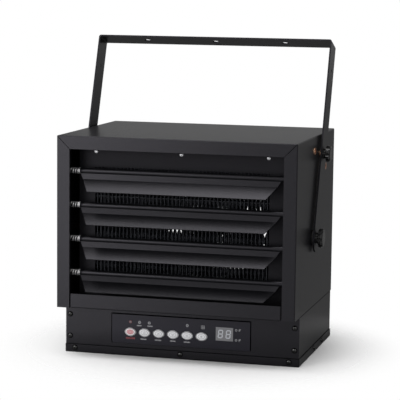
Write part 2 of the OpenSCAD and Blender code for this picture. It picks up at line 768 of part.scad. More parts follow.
function outward(i) = unit([0, spring_path[i][1], spring_path[i][2]]);

// Least gap of a spring to itself, between points more than half a turn apart
spring_self_gap = min([for (i = [0:len(spring_path) - 1]) for (j = [i + spring_rings - 2:1:len(spring_path) - 1])
    norm(spring_path[i] - spring_path[j])]) - spring_wire;
echo(spring_self_gap_mm = spring_self_gap);

module spring() {
    sides = 6;
    last = len(spring_path) - 1;
    points = [for (i = [0:last]) let (side = unit(cross(tangent(i), outward(i))), out = cross(side, tangent(i)))
        for (k = [0:sides - 1]) spring_path[i] + spring_wire / 2 * (out * cos(60 * k) + side * sin(60 * k))];
    faces = concat(
        [for (k = [1:sides - 2]) [0, k, k + 1]],
        [for (k = [1:sides - 2]) [last * sides, last * sides + k + 1, last * sides + k]],
        [for (i = [0:last - 1]) for (k = [0:sides - 1]) let (a = i * sides + k, b = i * sides + (k + 1) % sides)
            [a, a + sides, b]],
        [for (i = [0:last - 1]) for (k = [0:sides - 1]) let (a = i * sides + k, b = i * sides + (k + 1) % sides)
            [b, a + sides, b + sides]]
    );
    polyhedron(points, faces);
}

module louvre_springs() {
    color(steel) for (i = [0:3]) translate([0, louvre_y, louvre_z(i)]) spring();
}

// ----------------------------------------------------------------- element

// Finned leg along x, turned from one outline
module finned_leg(x0, x1) {
    count = floor(fin_span / fin_pitch);
    first = -(count - 1) / 2 * fin_pitch;
    outline = concat([[0, x0], [tube_d / 2, x0]],
        [for (i = [0:count - 1]) for (p = [[tube_d / 2, -fin_t / 2], [fin_d / 2, -fin_t / 2], [fin_d / 2, fin_t / 2], [tube_d / 2, fin_t / 2]])
            [p[0], first + i * fin_pitch + p[1]]],
        [[tube_d / 2, x1], [0, x1]]);
    rotate([0, 90, 0]) rotate_extrude() polygon(outline);
}

module hairpin(y, legs) {
    color(sheath) translate([0, y, z_mid]) {
        for (z = legs) translate([0, 0, z]) finned_leg(bend_x, duct_w / 2 + 6);
        translate([bend_x, 0, (legs[0] + legs[1]) / 2]) rotate([90, 90, 0])
            rotate_extrude(angle = -180) translate([(legs[0] - legs[1]) / 2, 0]) circle(d = tube_d);
    }
}

module element_upper() { hairpin(element_y, upper_legs); }
module element_lower() { hairpin(element_y, lower_legs); }
module element_rear() { hairpin(rear_row_y, rear_legs); }

module element_end_plates() {
    low = duct_low + duct_wall;
    high = duct_top - duct_wall - 0.2;
    low_y = element_y - fin_d / 2 - 2;
    high_y = rear_row_y + fin_d / 2 + 2;
    color(aluminium) for (s = [-1, 1]) difference() {
        union() {
            span([s * end_plate_x - 0.5, low_y, low], [s * end_plate_x + 0.5, high_y, high]);
            span([s * end_plate_x + 0.5 - 9, low_y, low], [s * end_plate_x + 0.5, high_y, low + 1]);
        }
        for (z = concat(upper_legs, lower_legs))
            bar_x(tube_d / 2 + leg_gap, s * end_plate_x - 2, s * end_plate_x + 2, element_y, z_mid + z);
        for (z = rear_legs) bar_x(tube_d / 2 + leg_gap, s * end_plate_x - 2, s * end_plate_x + 2, rear_row_y, z_mid + z);
    }
}

module element_terminals() {
    x0 = duct_w / 2 + 6;
    color(steel) {
        for (z = concat(upper_legs, lower_legs)) {
            bar_x(tube_d / 2 - 0.5, x0, x0 + 4, element_y, z_mid + z);
            bar_x(1.8, x0 + 4, x0 + 12, element_y, z_mid + z);
        }
        for (z = rear_legs) {
            bar_x(tube_d / 2 - 0.5, x0, x0 + 4, rear_row_y, z_mid + z);
            bar_x(1.8, x0 + 4, x0 + 12, rear_row_y, z_mid + z);
        }
    }
}

// Disc thermostat clipped to the duct's right wall
module thermal_cutout() {
    x0 = duct_w / 2;
    y = duct_y0 + 104;
    z = z_mid + 70;
    color(steel) {
        bar_x(9, x0, x0 + 1, y, z);
        bar_x(7.5, x0 + 1, x0 + 8, y, z);
        span([x0, y - 4, z - 12], [x0 + 1, y + 4, z + 12]);
        for (s = [-1, 1]) span([x0 + 8, y - 3, z + s * 4 - 0.4], [x0 + 12, y + 3, z + s * 4 + 0.4]);
    }
}

// --------------------------------------------------------------------- fan

module fan_shroud() {
    color(black_satin) difference() {
        union() {
            span([-duct_w / 2, duct_y1, duct_low], [duct_w / 2, duct_y1 + shroud_t, duct_top]);
            on_fan_axis(duct_y1) cylinder(r = shroud_r + 1.2, h = shroud_depth);
        }
        on_fan_axis(duct_y1 - 1) cylinder(r = shroud_r, h = shroud_depth + 2);
        for (a = arm_angles) on_fan_axis(duct_y1 - 1) rotate([0, 0, a]) translate([mount_foot_r - 5, 0, 0])
            cylinder(r = 1.8, h = 4);
    }
}

// Blade: a leaf cut from a thin cylinder wall whose axis points outwards
module blade() {
    camber_r = 140;
    leaf_r = blade_w / 2;
    leaf_at = fan_d / 2 - leaf_r + 5;
    root = spider_r - 8;
    intersection() {
        translate([0, 0, -40]) linear_extrude(80) intersection() {
            difference() {
                circle(fan_d / 2);
                circle(root);
            }
            union() {
                translate([leaf_at, 0]) circle(leaf_r);
                translate([root, -9]) square([leaf_at - root, 18]);
            }
        }
        rotate([blade_pitch, 0, 0]) translate([0, 0, -camber_r]) rotate([0, 90, 0]) difference() {
            cylinder(r = camber_r + blade_t / 2, h = fan_d);
            translate([0, 0, -1]) cylinder(r = camber_r - blade_t / 2, h = fan_d + 2);
        }
    }
}

module fan_blades() {
    color(aluminium * 0.7) on_fan_axis(fan_y) difference() {
        union() {
            translate([0, 0, -1.5]) cylinder(r = spider_r, h = 3);
            for (i = [0:blade_count - 1]) rotate([0, 0, 180 + i * 360 / blade_count]) blade();
        }
        translate([0, 0, -40]) cylinder(r = hub_r + 0.02, h = 80);
    }
}

module fan_hub() {
    color(steel) on_fan_axis(fan_y) difference() {
        union() {
            translate([0, 0, -8]) cylinder(r = hub_r, h = 18);
            translate([0, 0, 1.52]) cylinder(r = hub_r + 5, h = 2);
        }
        translate([0, 0, -9]) cylinder(r = shaft_d / 2 + 0.02, h = 20);
        translate([0, 0, 7]) rotate([0, 90, 0]) cylinder(r = 1.6, h = hub_r + 6);
    }
}

module motor_shaft() {
    color(steel) on_fan_axis(fan_y) translate([0, 0, -12]) cylinder(d = shaft_d, h = motor_y - fan_y + 12 + 26);
}

module motor_body() {
    r = motor_d / 2;
    color(black_deep) on_fan_axis(motor_y) difference() {
        union() {
            rotate_extrude() polygon([[0, -3], [14, -3], [16, 0], [r - 6, 0], [r, 6], [r, motor_l - 8], [r - 8, motor_l], [0, motor_l]]);
            for (z = [8, motor_l - 11]) translate([0, 0, z]) cylinder(r = r + 1, h = 3);
        }
        translate([0, 0, -4]) cylinder(r = shaft_d / 2 + shaft_fit, h = 31);
        for (a = arm_angles) rotate([0, 0, a]) translate([26, 0, -1]) cylinder(r = 1.6, h = 9);
        for (i = [0:11]) rotate([0, 0, i * 30 + 15]) translate([r - 18, -2, motor_l - 4]) cube([12, 4, 6]);
    }
}

module motor_mount() {
    z1 = motor_y - duct_y1 - shroud_t - 0.05;
    color(black_satin) on_fan_axis(duct_y1 + shroud_t) difference() {
        union() {
            translate([0, 0, z1 - mount_t]) cylinder(r = 34, h = mount_t);
            for (a = arm_angles) rotate([0, 0, a]) {
                translate([30, -mount_arm_w / 2, z1 - mount_t]) cube([mount_foot_r - 10 - 30, mount_arm_w, mount_t]);
                translate([mount_foot_r - 12, -mount_arm_w / 2, 0]) cube([mount_t, mount_arm_w, z1]);
                translate([mount_foot_r - 12, -mount_arm_w / 2, 0]) cube([14, mount_arm_w, mount_t]);
            }
        }
        translate([0, 0, z1 - mount_t - 1]) cylinder(r = 17, h = mount_t + 2);
        for (a = arm_angles) rotate([0, 0, a]) {
            translate([26, 0, z1 - mount_t - 1]) cylinder(r = 1.8, h = mount_t + 2);
            translate([mount_foot_r - 5, 0, -1]) cylinder(r = 1.8, h = mount_t + 2);
        }
    }
}

// ---------------------------------------------------------- control panel

module control_label() {
    recess_z = recess_top - recess_h / 2;
    color([0.10, 0.11, 0.16]) difference() {
        translate([0, recess_floor_y, recess_z]) face_front()
            linear_extrude(label_t) rounded_rect(recess_w - 0.8, recess_h - 0.8, recess_r - 0.4);
        translate([0, recess_floor_y + 1, 0]) face_front() linear_extrude(label_t + 2) {
            button_ovals(button_gap);
            translate([display_right, display_z]) square([display_w + 0.4, display_h + 0.4], center = true);
        }
        for (x = lamp_x) bar_y(lamp_d / 2 + 0.15, label_y - 1, recess_floor_y + 1, x, lamp_z);
    }
}

module display_module() {
    color([0.45, 0.46, 0.48]) translate([display_right, 0, display_z]) {
        span([-display_w / 2, label_y, -display_h / 2], [display_w / 2, board_y - 0.02, display_h / 2]);
    }
}

// Segment with pointed ends, along x
module segment(l, w) {
    polygon([[-l / 2, 0], [-l / 2 + w / 2, w / 2], [l / 2 - w / 2, w / 2], [l / 2, 0], [l / 2 - w / 2, -w / 2], [-l / 2 + w / 2, -w / 2]]);
}

module eight() {
    w = 1.5;
    gap = 0.25;
    x = (digit_w - w) / 2;
    z = (digit_h - w) / 2;
    lean = tan(digit_slant);
    for (k = [-1, 0, 1]) translate([k * z * lean, k * z]) segment(2 * x - gap, w);
    for (s = [-1, 1], k = [-0.5, 0.5]) translate([s * x + k * z * lean, k * z])
        rotate(90 - digit_slant) segment(z - gap, w);
}

module display_digits() {
    color([0.9, 0.92, 0.95]) for (s = [-1, 1])
        translate([display_right + s * display_w * 0.225, label_y - 0.01, display_z]) face_front() linear_extrude(0.25) eight();
}

module indicator_lamps() {
    color([0.75, 0.77, 0.80]) for (x = lamp_x)
        bar_y(lamp_d / 2, label_y - 0.3, board_y - 0.02, x, lamp_z);
}

// Oval cap with a gently domed front, on a round stem
module button(i) {
    dome_r = 40;
    color(i == 0 ? [0.85, 0.72, 0.72] : [0.78, 0.78, 0.80]) translate([button_x(i), 0, button_z]) {
        intersection() {
            translate([0, recess_floor_y + sheet_t + 2, 0]) face_front()
                linear_extrude(recess_floor_y + sheet_t + 2 - button_y) oval(button_w, button_h, button_end_r);
            translate([0, button_y + dome_r, 0]) sphere(r = dome_r, $fn = 128);
        }
        bar_y(stem_d / 2, recess_floor_y + sheet_t + 1.9, stem_end_y, 0, 0);
    }
}

module button_1() { button(0); }
module button_2() { button(1); }
module button_3() { button(2); }
module button_4() { button(3); }
module button_5() { button(4); }
module button_6() { button(5); }

module control_board() {
    low = recess_top - recess_h + 2;
    color([0.08, 0.30, 0.16]) {
        span([-recess_w / 2 + 6, board_y, low], [recess_w / 2 - 6, board_y + board_t, recess_top - 2]);
        for (i = [0:5]) span([button_x(i) - 3, switch_y, button_z - 3], [button_x(i) + 3, board_y, button_z + 3]);
        // Posts that carry the board on the fascia
        for (x = [-1, 1]) bar_y(3, recess_floor_y + sheet_t, board_y, x * (recess_w / 2 - 11), low + 6);
    }
}

module relay_block() {
    color([0.12, 0.14, 0.20]) {
        span([20, y_base + 60, sheet_t], [110, y_base + 130, sheet_t + 2]);
        for (k = [0:2]) span([26 + k * 28, y_base + 68, sheet_t + 2], [48 + k * 28, y_base + 96, sheet_t + 22]);
        for (k = [0:4]) span([28 + k * 16, y_base + 106, sheet_t + 2], [38 + k * 16, y_base + 120, sheet_t + 14]);
    }
}

module terminal_block() {
    color([0.85, 0.83, 0.76]) difference() {
        span([-140, base_back - 70, sheet_t], [-90, base_back - 46, sheet_t + 20]);
        for (k = [0:2]) {
            bar_z(3, sheet_t + 10, sheet_t + 21, -131 + k * 16, base_back - 58);
            bar_y(3.2, base_back - 56, base_back - 45, -131 + k * 16, sheet_t + 7);
        }
    }
}

module cable_bush() {
    r = cable_d / 2;
    color(black_deep) difference() {
        union() {
            bar_y(r + 3.5, base_back - 14, base_back + 1, bush_x, bush_z);
            bar_y(r + 6.5, base_back + 0.02, base_back + 5, bush_x, bush_z);
        }
        bar_y(r, base_back - 15, base_back + 6, bush_x, bush_z);
    }
}

module earth_stud() {
    color(brass) {
        bar_y(2.1, base_back - 12, base_back + 0.02, earth_x, bush_z);
        translate([earth_x, base_back + 0.02, bush_z]) face_back() cylinder(r = 4.5, h = 2.5, $fn = 6);
    }
}

// ----------------------------------------------------------------- bracket

module bracket() {
    color(black_satin) in_bracket() difference() {
        intersection() {
            rotate([90, 0, 0]) linear_extrude(bar_w, center = true) difference() {
                top_rounded(2 * arm_out_x, -bar_w / 2 - arm_tail, arm_l, bar_bend_r + bar_t);
                top_rounded(2 * arm_in_x, -bar_w / 2 - arm_tail - 1, arm_l - bar_t, bar_bend_r);
            }
            rotate([90, 0, 90]) linear_extrude(2 * arm_out_x + 2, center = true) {
                translate([0, -arm_tail]) circle(bar_w / 2);
                translate([-bar_w / 2, -arm_tail]) square([bar_w, arm_l + arm_tail + 1]);
            }
        }
        for (z = [0, lock_r]) translate([0, 0, z])
            face_side(1) cylinder(r = knob_screw_d / 2 + knob_fit, h = 3 * hood_w, center = true);
        translate([0, 0, arm_l - arm_hole_drop]) face_side(1) cylinder(d = arm_hole_d, h = 3 * hood_w, center = true);
        for (k = [-1, 0, 1]) translate([k * bar_hole_pitch, 0, arm_l - bar_t - 1]) cylinder(d = bar_hole_d, h = bar_t + 2);
    }
}

// Knob with a scalloped grip on its screw: base on z = 0, the screw down -z
module knob(d, screw_l) {
    lobes = 8;
    r = d / 2;
    grip_z = knob_t * 0.28;
    intersection() {
        translate([0, 0, -1]) linear_extrude(knob_t + 2) difference() {
            circle(r + 1);
            for (i = [0:lobes - 1]) rotate((i + 0.5) * 360 / lobes) translate([r * 1.15, 0]) circle(r * 0.25);
        }
        rotate_extrude() polygon([
            [0, 0], [r * 0.6, 0], [r * 0.6, grip_z], [r - 0.8, grip_z], [r, grip_z + 0.8],
            [r, knob_t - 2.8], [r - 0.9, knob_t - 0.9], [r - 2.8, knob_t], [0, knob_t]
        ]);
    }
    translate([0, 0, -screw_l]) cylinder(d = knob_screw_d, h = screw_l + 1);
}

module pivot_knob(s) {
    color(black_deep) in_bracket() translate([s * knob_x, 0, 0]) face_side(s)
        knob(pivot_knob_d, knob_x - half_w + insert_l - 1);
}

module lock_knob(s) {
    color(black_deep) in_bracket() translate([s * knob_x, 0, lock_r]) face_side(s)
        knob(lock_knob_d, knob_x - arm_in_x - 0.1);
}

module pivot_knob_left() { pivot_knob(-1); }
module pivot_knob_right() { pivot_knob(1); }
module lock_knob_left() { lock_knob(-1); }
module lock_knob_right() { lock_knob(1); }

module pivot_spacers() {
    color([0.2, 0.2, 0.2]) in_bracket() for (s = [-1, 1]) translate([s * half_w, 0, 0]) face_side(s) difference() {
        cylinder(r = 12, h = arm_gap - 0.1);
        translate([0, 0, -1]) cylinder(r = insert_flange_d / 2 + 0.3, h = arm_gap + 2);
    }
}

module knob_washers() {
    color(steel) in_bracket() for (s = [-1, 1], z = [0, lock_r]) translate([s * arm_out_x, 0, z]) face_side(s) difference() {
        cylinder(r = 8, h = washer_t);
        translate([0, 0, -1]) cylinder(r = knob_screw_d / 2 + 0.35, h = washer_t + 2);
    }
}

// Flanged insert, its flange on z = 0
module insert() {
    difference() {
        union() {
            translate([0, 0, -insert_l]) cylinder(r = insert_r, h = insert_l + insert_flange_t);
            cylinder(d = insert_flange_d, h = insert_flange_t);
        }
        translate([0, 0, -insert_l - 1]) cylinder(r = knob_screw_d / 2 + knob_fit, h = insert_l + insert_flange_t + 2);
    }
}

module threaded_inserts() {
    color(brass) in_bracket() for (s = [-1, 1]) {
        translate([s * half_w, 0, 0]) face_side(s) insert();
        for (a = lock_angles) rotate([-a, 0, 0]) translate([s * half_w, 0, lock_r]) face_side(s) insert();
    }
}

// -------------------------------------------------------------- fasteners

module inner_panel_screws() {
    color(steel) for (x = inner_screw_x) translate([x, duct_y0, inner_screw_z]) face_front() screw();
}

module fascia_screws() {
    color(black_deep) for (x = [-1, 1], z = fascia_screw_z) translate([x * fascia_screw_x, y_base, z]) face_front() screw();
}

module tray_screws() {
    color(black_deep) {
        for (x = tray_screw_x) translate([x, y_base - sheet_t, tray_screw_z]) face_front() screw();
        for (s = [-1, 1], y = tray_side_y) translate([s * half_w, y, tray_screw_z]) face_side(s) screw();
    }
}

module rear_screws() {
    color(black_deep) {
        for (x = rear_screw_x, z = rear_screw_z) translate([x, y_rear + sheet_t, z]) face_back() screw();
        for (x = rear_low_screw_x) translate([x, y_rear + sheet_t, floor_top + 7]) face_back() screw();
    }
}

module seam_screws() {
    color(steel) for (x = [-1, 1], y = seam_screw_y)
        translate([x * seam_screw_x, y, z_seam - sheet_gap - sheet_t]) mirror([0, 0, 1]) screw();
}

module guard_screws() {
    color(black_deep) for (a = arm_angles) on_fan_axis(y_rear + sheet_t + 0.05 + 1.4) rotate([0, 0, a]) translate([guard_screw_r, 0, 0])
        screw(6, 6, 3);
}

module motor_screws() {
    z1 = motor_y - mount_t - 0.05;
    color(steel) for (a = arm_angles) {
        on_fan_axis(z1) rotate([0, 0, a]) translate([26, 0, 0]) rotate([180, 0, 0]) screw(8, 6, 3);
        on_fan_axis(duct_y1 + shroud_t + mount_t) rotate([0, 0, a]) translate([mount_foot_r - 5, 0, 0]) screw(6, 6, 3);
    }
}

hood();
floor_pan();
base_shell();
control_fascia();
bottom_tray();
rear_panel();
rear_guard();
inner_panel();
inner_duct();
air_guard();
louvre_1();
louvre_2();
louvre_3();
louvre_4();
louvre_rods();
louvre_springs();
louvre_spacers();
rod_rails();
element_upper();
element_lower();
element_rear();
element_end_plates();
element_terminals();
thermal_cutout();
fan_shroud();
fan_blades();
fan_hub();
motor_shaft();
motor_body();
motor_mount();
control_label();
display_module();
display_digits();
indicator_lamps();
button_1();
button_2();
button_3();
button_4();
button_5();
button_6();
control_board();
relay_block();
terminal_block();
cable_bush();
earth_stud();
bracket();
pivot_knob_left();
pivot_knob_right();
lock_knob_left();
lock_knob_right();
pivot_spacers();
knob_washers();
threaded_inserts();
inner_panel_screws();
fascia_screws();
tray_screws();
rear_screws();
seam_screws();
guard_screws();
motor_screws();
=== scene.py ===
# %% [markdown]
# # A ceiling mounted fan heater
# The heater is a folded sheet-metal casing with four louvres in its mouth, finned elements and a fan behind
# them, a button panel in its base and a swivel bracket over the top. The solids are loaded first, as a fixed
# frame. Everything that follows gives them their finishes, adds print and painted shade, or puts a finer
# piece in the place of a plain one, and never moves or changes the solids themselves.

# %% Load the frame
import bpy, bmesh, json, math
from mathutils import Matrix, Vector


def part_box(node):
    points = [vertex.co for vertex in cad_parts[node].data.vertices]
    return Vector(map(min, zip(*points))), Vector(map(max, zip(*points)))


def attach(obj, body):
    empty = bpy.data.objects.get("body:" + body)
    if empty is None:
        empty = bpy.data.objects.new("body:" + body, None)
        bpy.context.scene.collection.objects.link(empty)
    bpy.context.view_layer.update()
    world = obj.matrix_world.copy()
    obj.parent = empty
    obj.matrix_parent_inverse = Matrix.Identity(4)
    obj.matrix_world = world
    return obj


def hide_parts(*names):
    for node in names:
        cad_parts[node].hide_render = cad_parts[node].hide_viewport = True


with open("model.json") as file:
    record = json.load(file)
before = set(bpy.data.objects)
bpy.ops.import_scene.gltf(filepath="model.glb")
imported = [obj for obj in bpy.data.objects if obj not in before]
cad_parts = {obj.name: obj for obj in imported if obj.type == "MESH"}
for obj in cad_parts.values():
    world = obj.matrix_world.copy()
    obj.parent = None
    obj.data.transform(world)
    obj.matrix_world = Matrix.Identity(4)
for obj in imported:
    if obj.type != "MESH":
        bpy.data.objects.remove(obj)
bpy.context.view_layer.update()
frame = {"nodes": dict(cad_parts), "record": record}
nodes = frame["nodes"]
mm = 0.001

# %% [markdown]
# ## Camera
# The photograph was taken from a little above, to the right of the heater, with a long lens. The lens and
# the place were worked out from the casing's corners, so the camera is set as numbers: where it stands,
# how far it turns, looks down and rolls, and how long its lens is on a 36 mm sensor.

# %% Camera
def look(yaw, pitch, roll):
    """Rotation of a camera that turns left by yaw, looks down by pitch and rolls, in degrees."""
    yaw, pitch, roll = (math.radians(v) for v in (yaw, pitch, roll))
    level = math.cos(pitch)
    ahead = Vector((-math.sin(yaw) * level, math.cos(yaw) * level, -math.sin(pitch)))
    right = Vector((math.cos(yaw), math.sin(yaw), 0))
    up = right.cross(ahead)
    cosine, sine = math.cos(roll), math.sin(roll)
    right, up = right * cosine + up * sine, up * cosine - right * sine
    return Matrix((right, up, -ahead)).transposed().to_4x4()

scene = bpy.context.scene
camera = bpy.data.objects.new("camera", bpy.data.cameras.new("camera"))
scene.collection.objects.link(camera)
camera.data.lens, camera.data.sensor_width = 155.1, 36.0
camera.data.clip_start, camera.data.clip_end = 0.1, 50.0
camera_place = (0.697764, -2.574360, 0.579515)
camera.matrix_world = Matrix.Translation(camera_place) @ look(yaw=15.140, pitch=7.415, roll=0.650)
scene.camera = camera
print("lens", camera.data.lens, "mm at", [round(v, 3) for v in camera_place])

# %% [markdown]
# ## Building with nodes
# The world, the floor, every finish and every Geometry Nodes tree is built from nodes, so a few short tools
# serve them all. `put` adds one node to a tree and fills its inputs, `maths` adds one sum, and `ramp` turns
# one range of values smoothly into another.

# %% Tools for nodes
def put(tree, kind, inputs=None, **settings):
    """Adds a node. An input that is given a socket is linked, one that is given a value is set."""
    node = tree.nodes.new(kind)
    for key, value in settings.items():
        setattr(node, key, value)
    for key, value in (inputs or {}).items():
        for one in value if isinstance(value, list) else [value]:
            if isinstance(one, bpy.types.NodeSocket):
                tree.links.new(one, node.inputs[key])
            else:
                node.inputs[key].default_value = one
    return node

def maths(tree, operation, *values):
    return put(tree, "ShaderNodeMath", dict(enumerate(values)), operation=operation).outputs[0]

def ramp(tree, value, start, end, low, high, curve="SMOOTHSTEP"):
    """Goes from low to high while the value goes from start to end."""
    limits = {"Value": value, "From Min": start, "From Max": end, "To Min": low, "To Max": high}
    return put(tree, "ShaderNodeMapRange", limits, interpolation_type=curve).outputs["Result"]

# %% [markdown]
# ## Studio
# A black heater is seen mostly by what it reflects. Five large soft lamps stand round it, one above, two at
# the front left, one at the front right and one behind. They give the left flange more light than the right
# one and let the top panel shine, as in a product photograph. The world is white to the camera. Mirrored in
# the coat it is bright in front of the heater and dim behind it, and as plain light it adds only a little.

# %% World
scene.view_settings.view_transform = "Standard"
world = bpy.data.worlds.new("studio")
scene.world = world
world.use_nodes = True
world_tree = world.node_tree
world_tree.nodes.clear()
front_glow, back_glow = 1.0, 0.18
front_y, back_y = -0.3, 0.5
room_light = 0.05
rays = put(world_tree, "ShaderNodeLightPath").outputs
heading = put(world_tree, "ShaderNodeTexCoord").outputs["Generated"]
depthwise = put(world_tree, "ShaderNodeSeparateXYZ", {0: heading}).outputs["Y"]
mirrored = ramp(world_tree, depthwise, front_y, back_y, front_glow, back_glow)
direct = maths(world_tree, "MAXIMUM", rays["Is Camera Ray"], rays["Is Transmission Ray"])
plain = maths(world_tree, "ADD", maths(world_tree, "MULTIPLY", direct, 1 - room_light), room_light)
not_mirrored = maths(world_tree, "SUBTRACT", 1.0, rays["Is Glossy Ray"])
strength = maths(world_tree, "ADD", maths(world_tree, "MULTIPLY", plain, not_mirrored),
                 maths(world_tree, "MULTIPLY", mirrored, rays["Is Glossy Ray"]))
white = put(world_tree, "ShaderNodeBackground", {"Color": (1, 1, 1, 1), "Strength": strength})
put(world_tree, "ShaderNodeOutputWorld", {"Surface": white.outputs[0]})
world.cycles.sampling_method = "NONE"
print("world of", len(world_tree.nodes), "nodes")

# %% Lamps
def soft_lamp(name, place, target, size, watts):
    lamp = bpy.data.lights.new(name, "AREA")
    lamp.shape, lamp.size, lamp.size_y, lamp.energy = "RECTANGLE", size[0], size[1], watts
    obj = bpy.data.objects.new(name, lamp)
    scene.collection.objects.link(obj)
    obj.location = place
    obj.rotation_euler = (Vector(target) - Vector(place)).to_track_quat("-Z", "Y").to_euler()

heater_middle = (0, 0, 0.2)
studio_lamps = (
    ("key_above", (-0.30, -0.45, 2.2), (0, -0.1, 0.2), (1.6, 1.1), 36),
    ("window_left", (-1.15, -2.2, 0.25), heater_middle, (0.9, 1.3), 17.5),
    ("side_left", (-1.3, -2.0, 1.1), heater_middle, (1.0, 1.0), 17),
    ("glow_right", (0.9, -2.4, 0.9), heater_middle, (0.9, 0.9), 8),
    ("glow_back", (0.0, 2.2, 0.6), heater_middle, (2.0, 0.6), 0.8),
)
for lamp_row in studio_lamps:
    soft_lamp(*lamp_row)
print("lamps", [lamp_row[0] for lamp_row in studio_lamps])

# %% [markdown]
# ## Floor
# The photograph has a plain white ground. The floor is a white disc that fades out towards its rim, so
# that the heater keeps a soft shadow under it and the rest is as white as the background. It gives a little
# less light back than it shows to the camera, which keeps the sides of the base as dark as the rest.

# %% Small tools for meshes
def round_angles(count):
    return [2 * math.pi * i / count for i in range(count)]

def skin(bm, low, high):
    """Faces between two closed loops of equally many points."""
    for i in range(len(low)):
        j = (i + 1) % len(low)
        bm.faces.new((low[i], low[j], high[j], high[i]))

def made_mesh(name, bm, outwards=True):
    """Makes a mesh of what was drawn, and turns its faces outwards unless told not to."""
    if outwards:
        bmesh.ops.recalc_face_normals(bm, faces=bm.faces)
    mesh = bpy.data.meshes.new(name)
    bm.to_mesh(mesh)
    bm.free()
    return mesh

# %% Floor
def disc(name, radius, rings, sides):
    bm = bmesh.new()
    centre = bm.verts.new((0, 0, 0))
    last = None
    for k in range(1, rings + 1):
        r = radius * k / rings
        loop = [bm.verts.new((r * math.cos(a), r * math.sin(a), 0)) for a in round_angles(sides)]
        if last:
            skin(bm, loop, last)
        else:
            for i in range(sides):
                bm.faces.new((centre, loop[i], loop[(i + 1) % sides]))
        last = loop
    return made_mesh(name, bm, outwards=False)

floor_r, fade_start, fade_end = 0.36, 0.12, 0.34
given_back, shown = (0.70, 0.70, 0.70, 1), (0.96, 0.96, 0.96, 1)
floor_paint = bpy.data.materials.new("floor_white")
floor_paint.use_nodes = True
floor_tree = floor_paint.node_tree
floor_tree.nodes.clear()
seen = put(floor_tree, "ShaderNodeLightPath").outputs["Is Camera Ray"]
floor_place = put(floor_tree, "ShaderNodeTexCoord").outputs["Object"]
far = put(floor_tree, "ShaderNodeVectorMath", {0: floor_place}, operation="LENGTH").outputs["Value"]
fade = maths(floor_tree, "MULTIPLY", ramp(floor_tree, far, fade_start, fade_end, 0.0, 1.0), seen)
tone = put(floor_tree, "ShaderNodeMix", {"Factor": seen, "A": given_back, "B": shown}, data_type="RGBA")
matte = put(floor_tree, "ShaderNodeBsdfDiffuse", {"Color": tone.outputs["Result"]})
clear = put(floor_tree, "ShaderNodeBsdfTransparent")
mixed = put(floor_tree, "ShaderNodeMixShader", {0: fade, 1: matte.outputs[0], 2: clear.outputs[0]})
put(floor_tree, "ShaderNodeOutputMaterial", {"Surface": mixed.outputs[0]})
floor = bpy.data.objects.new("floor", disc("floor", floor_r, rings=6, sides=64))
floor.data.materials.append(floor_paint)
scene.collection.objects.link(floor)
print("floor", len(floor.data.polygons), "faces")

# %% [markdown]
# ## Finishes
# Each finish is a Principled shader whose colour and roughness wander a little and whose surface has a fine
# grain, all from noise in Object coordinates, so the grain has one real size on every piece. `finish` takes
# the grain's size in millimetres: powder coat has an orange peel of less than a millimetre, rolled fan
# sheet has long scratches, moulded plastic is nearly smooth.

# %% The maker of finishes
cloud_scale, dullness_spread = 22.0, 0.12

def finish(name, colour, rough, metal=0.0, grain_mm=0.6, bump=0.15, wander=0.12, stretch=(1, 1, 1),
           shine=0.5, tint=(1, 1, 1, 1)):
    mat = bpy.data.materials.new(name)
    mat.use_nodes = True
    tree = mat.node_tree
    shader = tree.nodes["Principled BSDF"]
    for socket, value in (("Metallic", metal), ("Specular IOR Level", shine), ("Specular Tint", tint)):
        shader.inputs[socket].default_value = value
    place = put(tree, "ShaderNodeTexCoord").outputs["Object"]
    stretched = put(tree, "ShaderNodeMapping", {"Vector": place, "Scale": stretch}).outputs["Vector"]
    grain_noise = {"Vector": stretched, "Scale": 1 / (grain_mm * mm), "Detail": 2.0}
    grain = put(tree, "ShaderNodeTexNoise", grain_noise).outputs["Fac"]
    cloud_noise = {"Vector": place, "Scale": cloud_scale, "Detail": 3.0}
    cloud = put(tree, "ShaderNodeTexNoise", cloud_noise).outputs["Fac"]
    deep, pale = (tuple([min(1, c * (1 + s * wander)) for c in colour] + [1]) for s in (-1, 1))
    shade = put(tree, "ShaderNodeMix", {"Factor": cloud, "A": deep, "B": pale}, data_type="RGBA")
    clearer, duller = rough * (1 - dullness_spread), min(1, rough * (1 + dullness_spread))
    dullness = ramp(tree, grain, 0.3, 0.7, clearer, duller, curve="LINEAR")
    relief_inputs = {"Height": grain, "Strength": bump, "Distance": grain_mm * mm / 6}
    relief = put(tree, "ShaderNodeBump", relief_inputs)
    for socket, source in (("Base Color", shade.outputs["Result"]), ("Roughness", dullness),
                           ("Normal", relief.outputs["Normal"])):
        tree.links.new(source, shader.inputs[socket])
    return mat

# %% [markdown]
# ## The heater's own finishes
# The casing has a black powder coat with a faintly cool shine; inside it is a rougher copy whose darker
# colour and weaker shine are painted shade. The springs are zinc plated, the inner panel's screws are bright
# steel and the outer ones blackened. The print on the panel is matt.

# %% Coats, metals and plastics
cool = (0.93, 0.90, 1.0, 1.0)
black_coat = finish("black_coat", (0.004, 0.004, 0.0048), 0.30, grain_mm=0.7, bump=0.4, shine=0.20, tint=cool)
# painted shade: a darker, duller copy of black_coat for the parts deep inside the casing
inner_coat = finish("inner_coat", (0.002, 0.002, 0.0026), 0.50, grain_mm=0.7, bump=0.4, shine=0.12, tint=cool)
guard_steel = finish("guard_steel", (0.020, 0.021, 0.026), 0.5, grain_mm=0.4, bump=0.2, shine=0.2)
spring_zinc = finish("spring_zinc", (0.95, 0.95, 0.96), 0.20, metal=0.6, grain_mm=0.3, bump=0.1)
bright_steel = finish("bright_steel", (0.34, 0.34, 0.35), 0.24, metal=1.0, grain_mm=0.5, bump=0.15)
black_screw = finish("black_screw", (0.0005, 0.0005, 0.0006), 0.16, grain_mm=0.4, bump=0.1, shine=0.45)
fan_sheet = finish("fan_sheet", (0.50, 0.51, 0.53), 0.35, metal=1.0, grain_mm=0.5, bump=0.3,
                   stretch=(1, 1, 0.1))
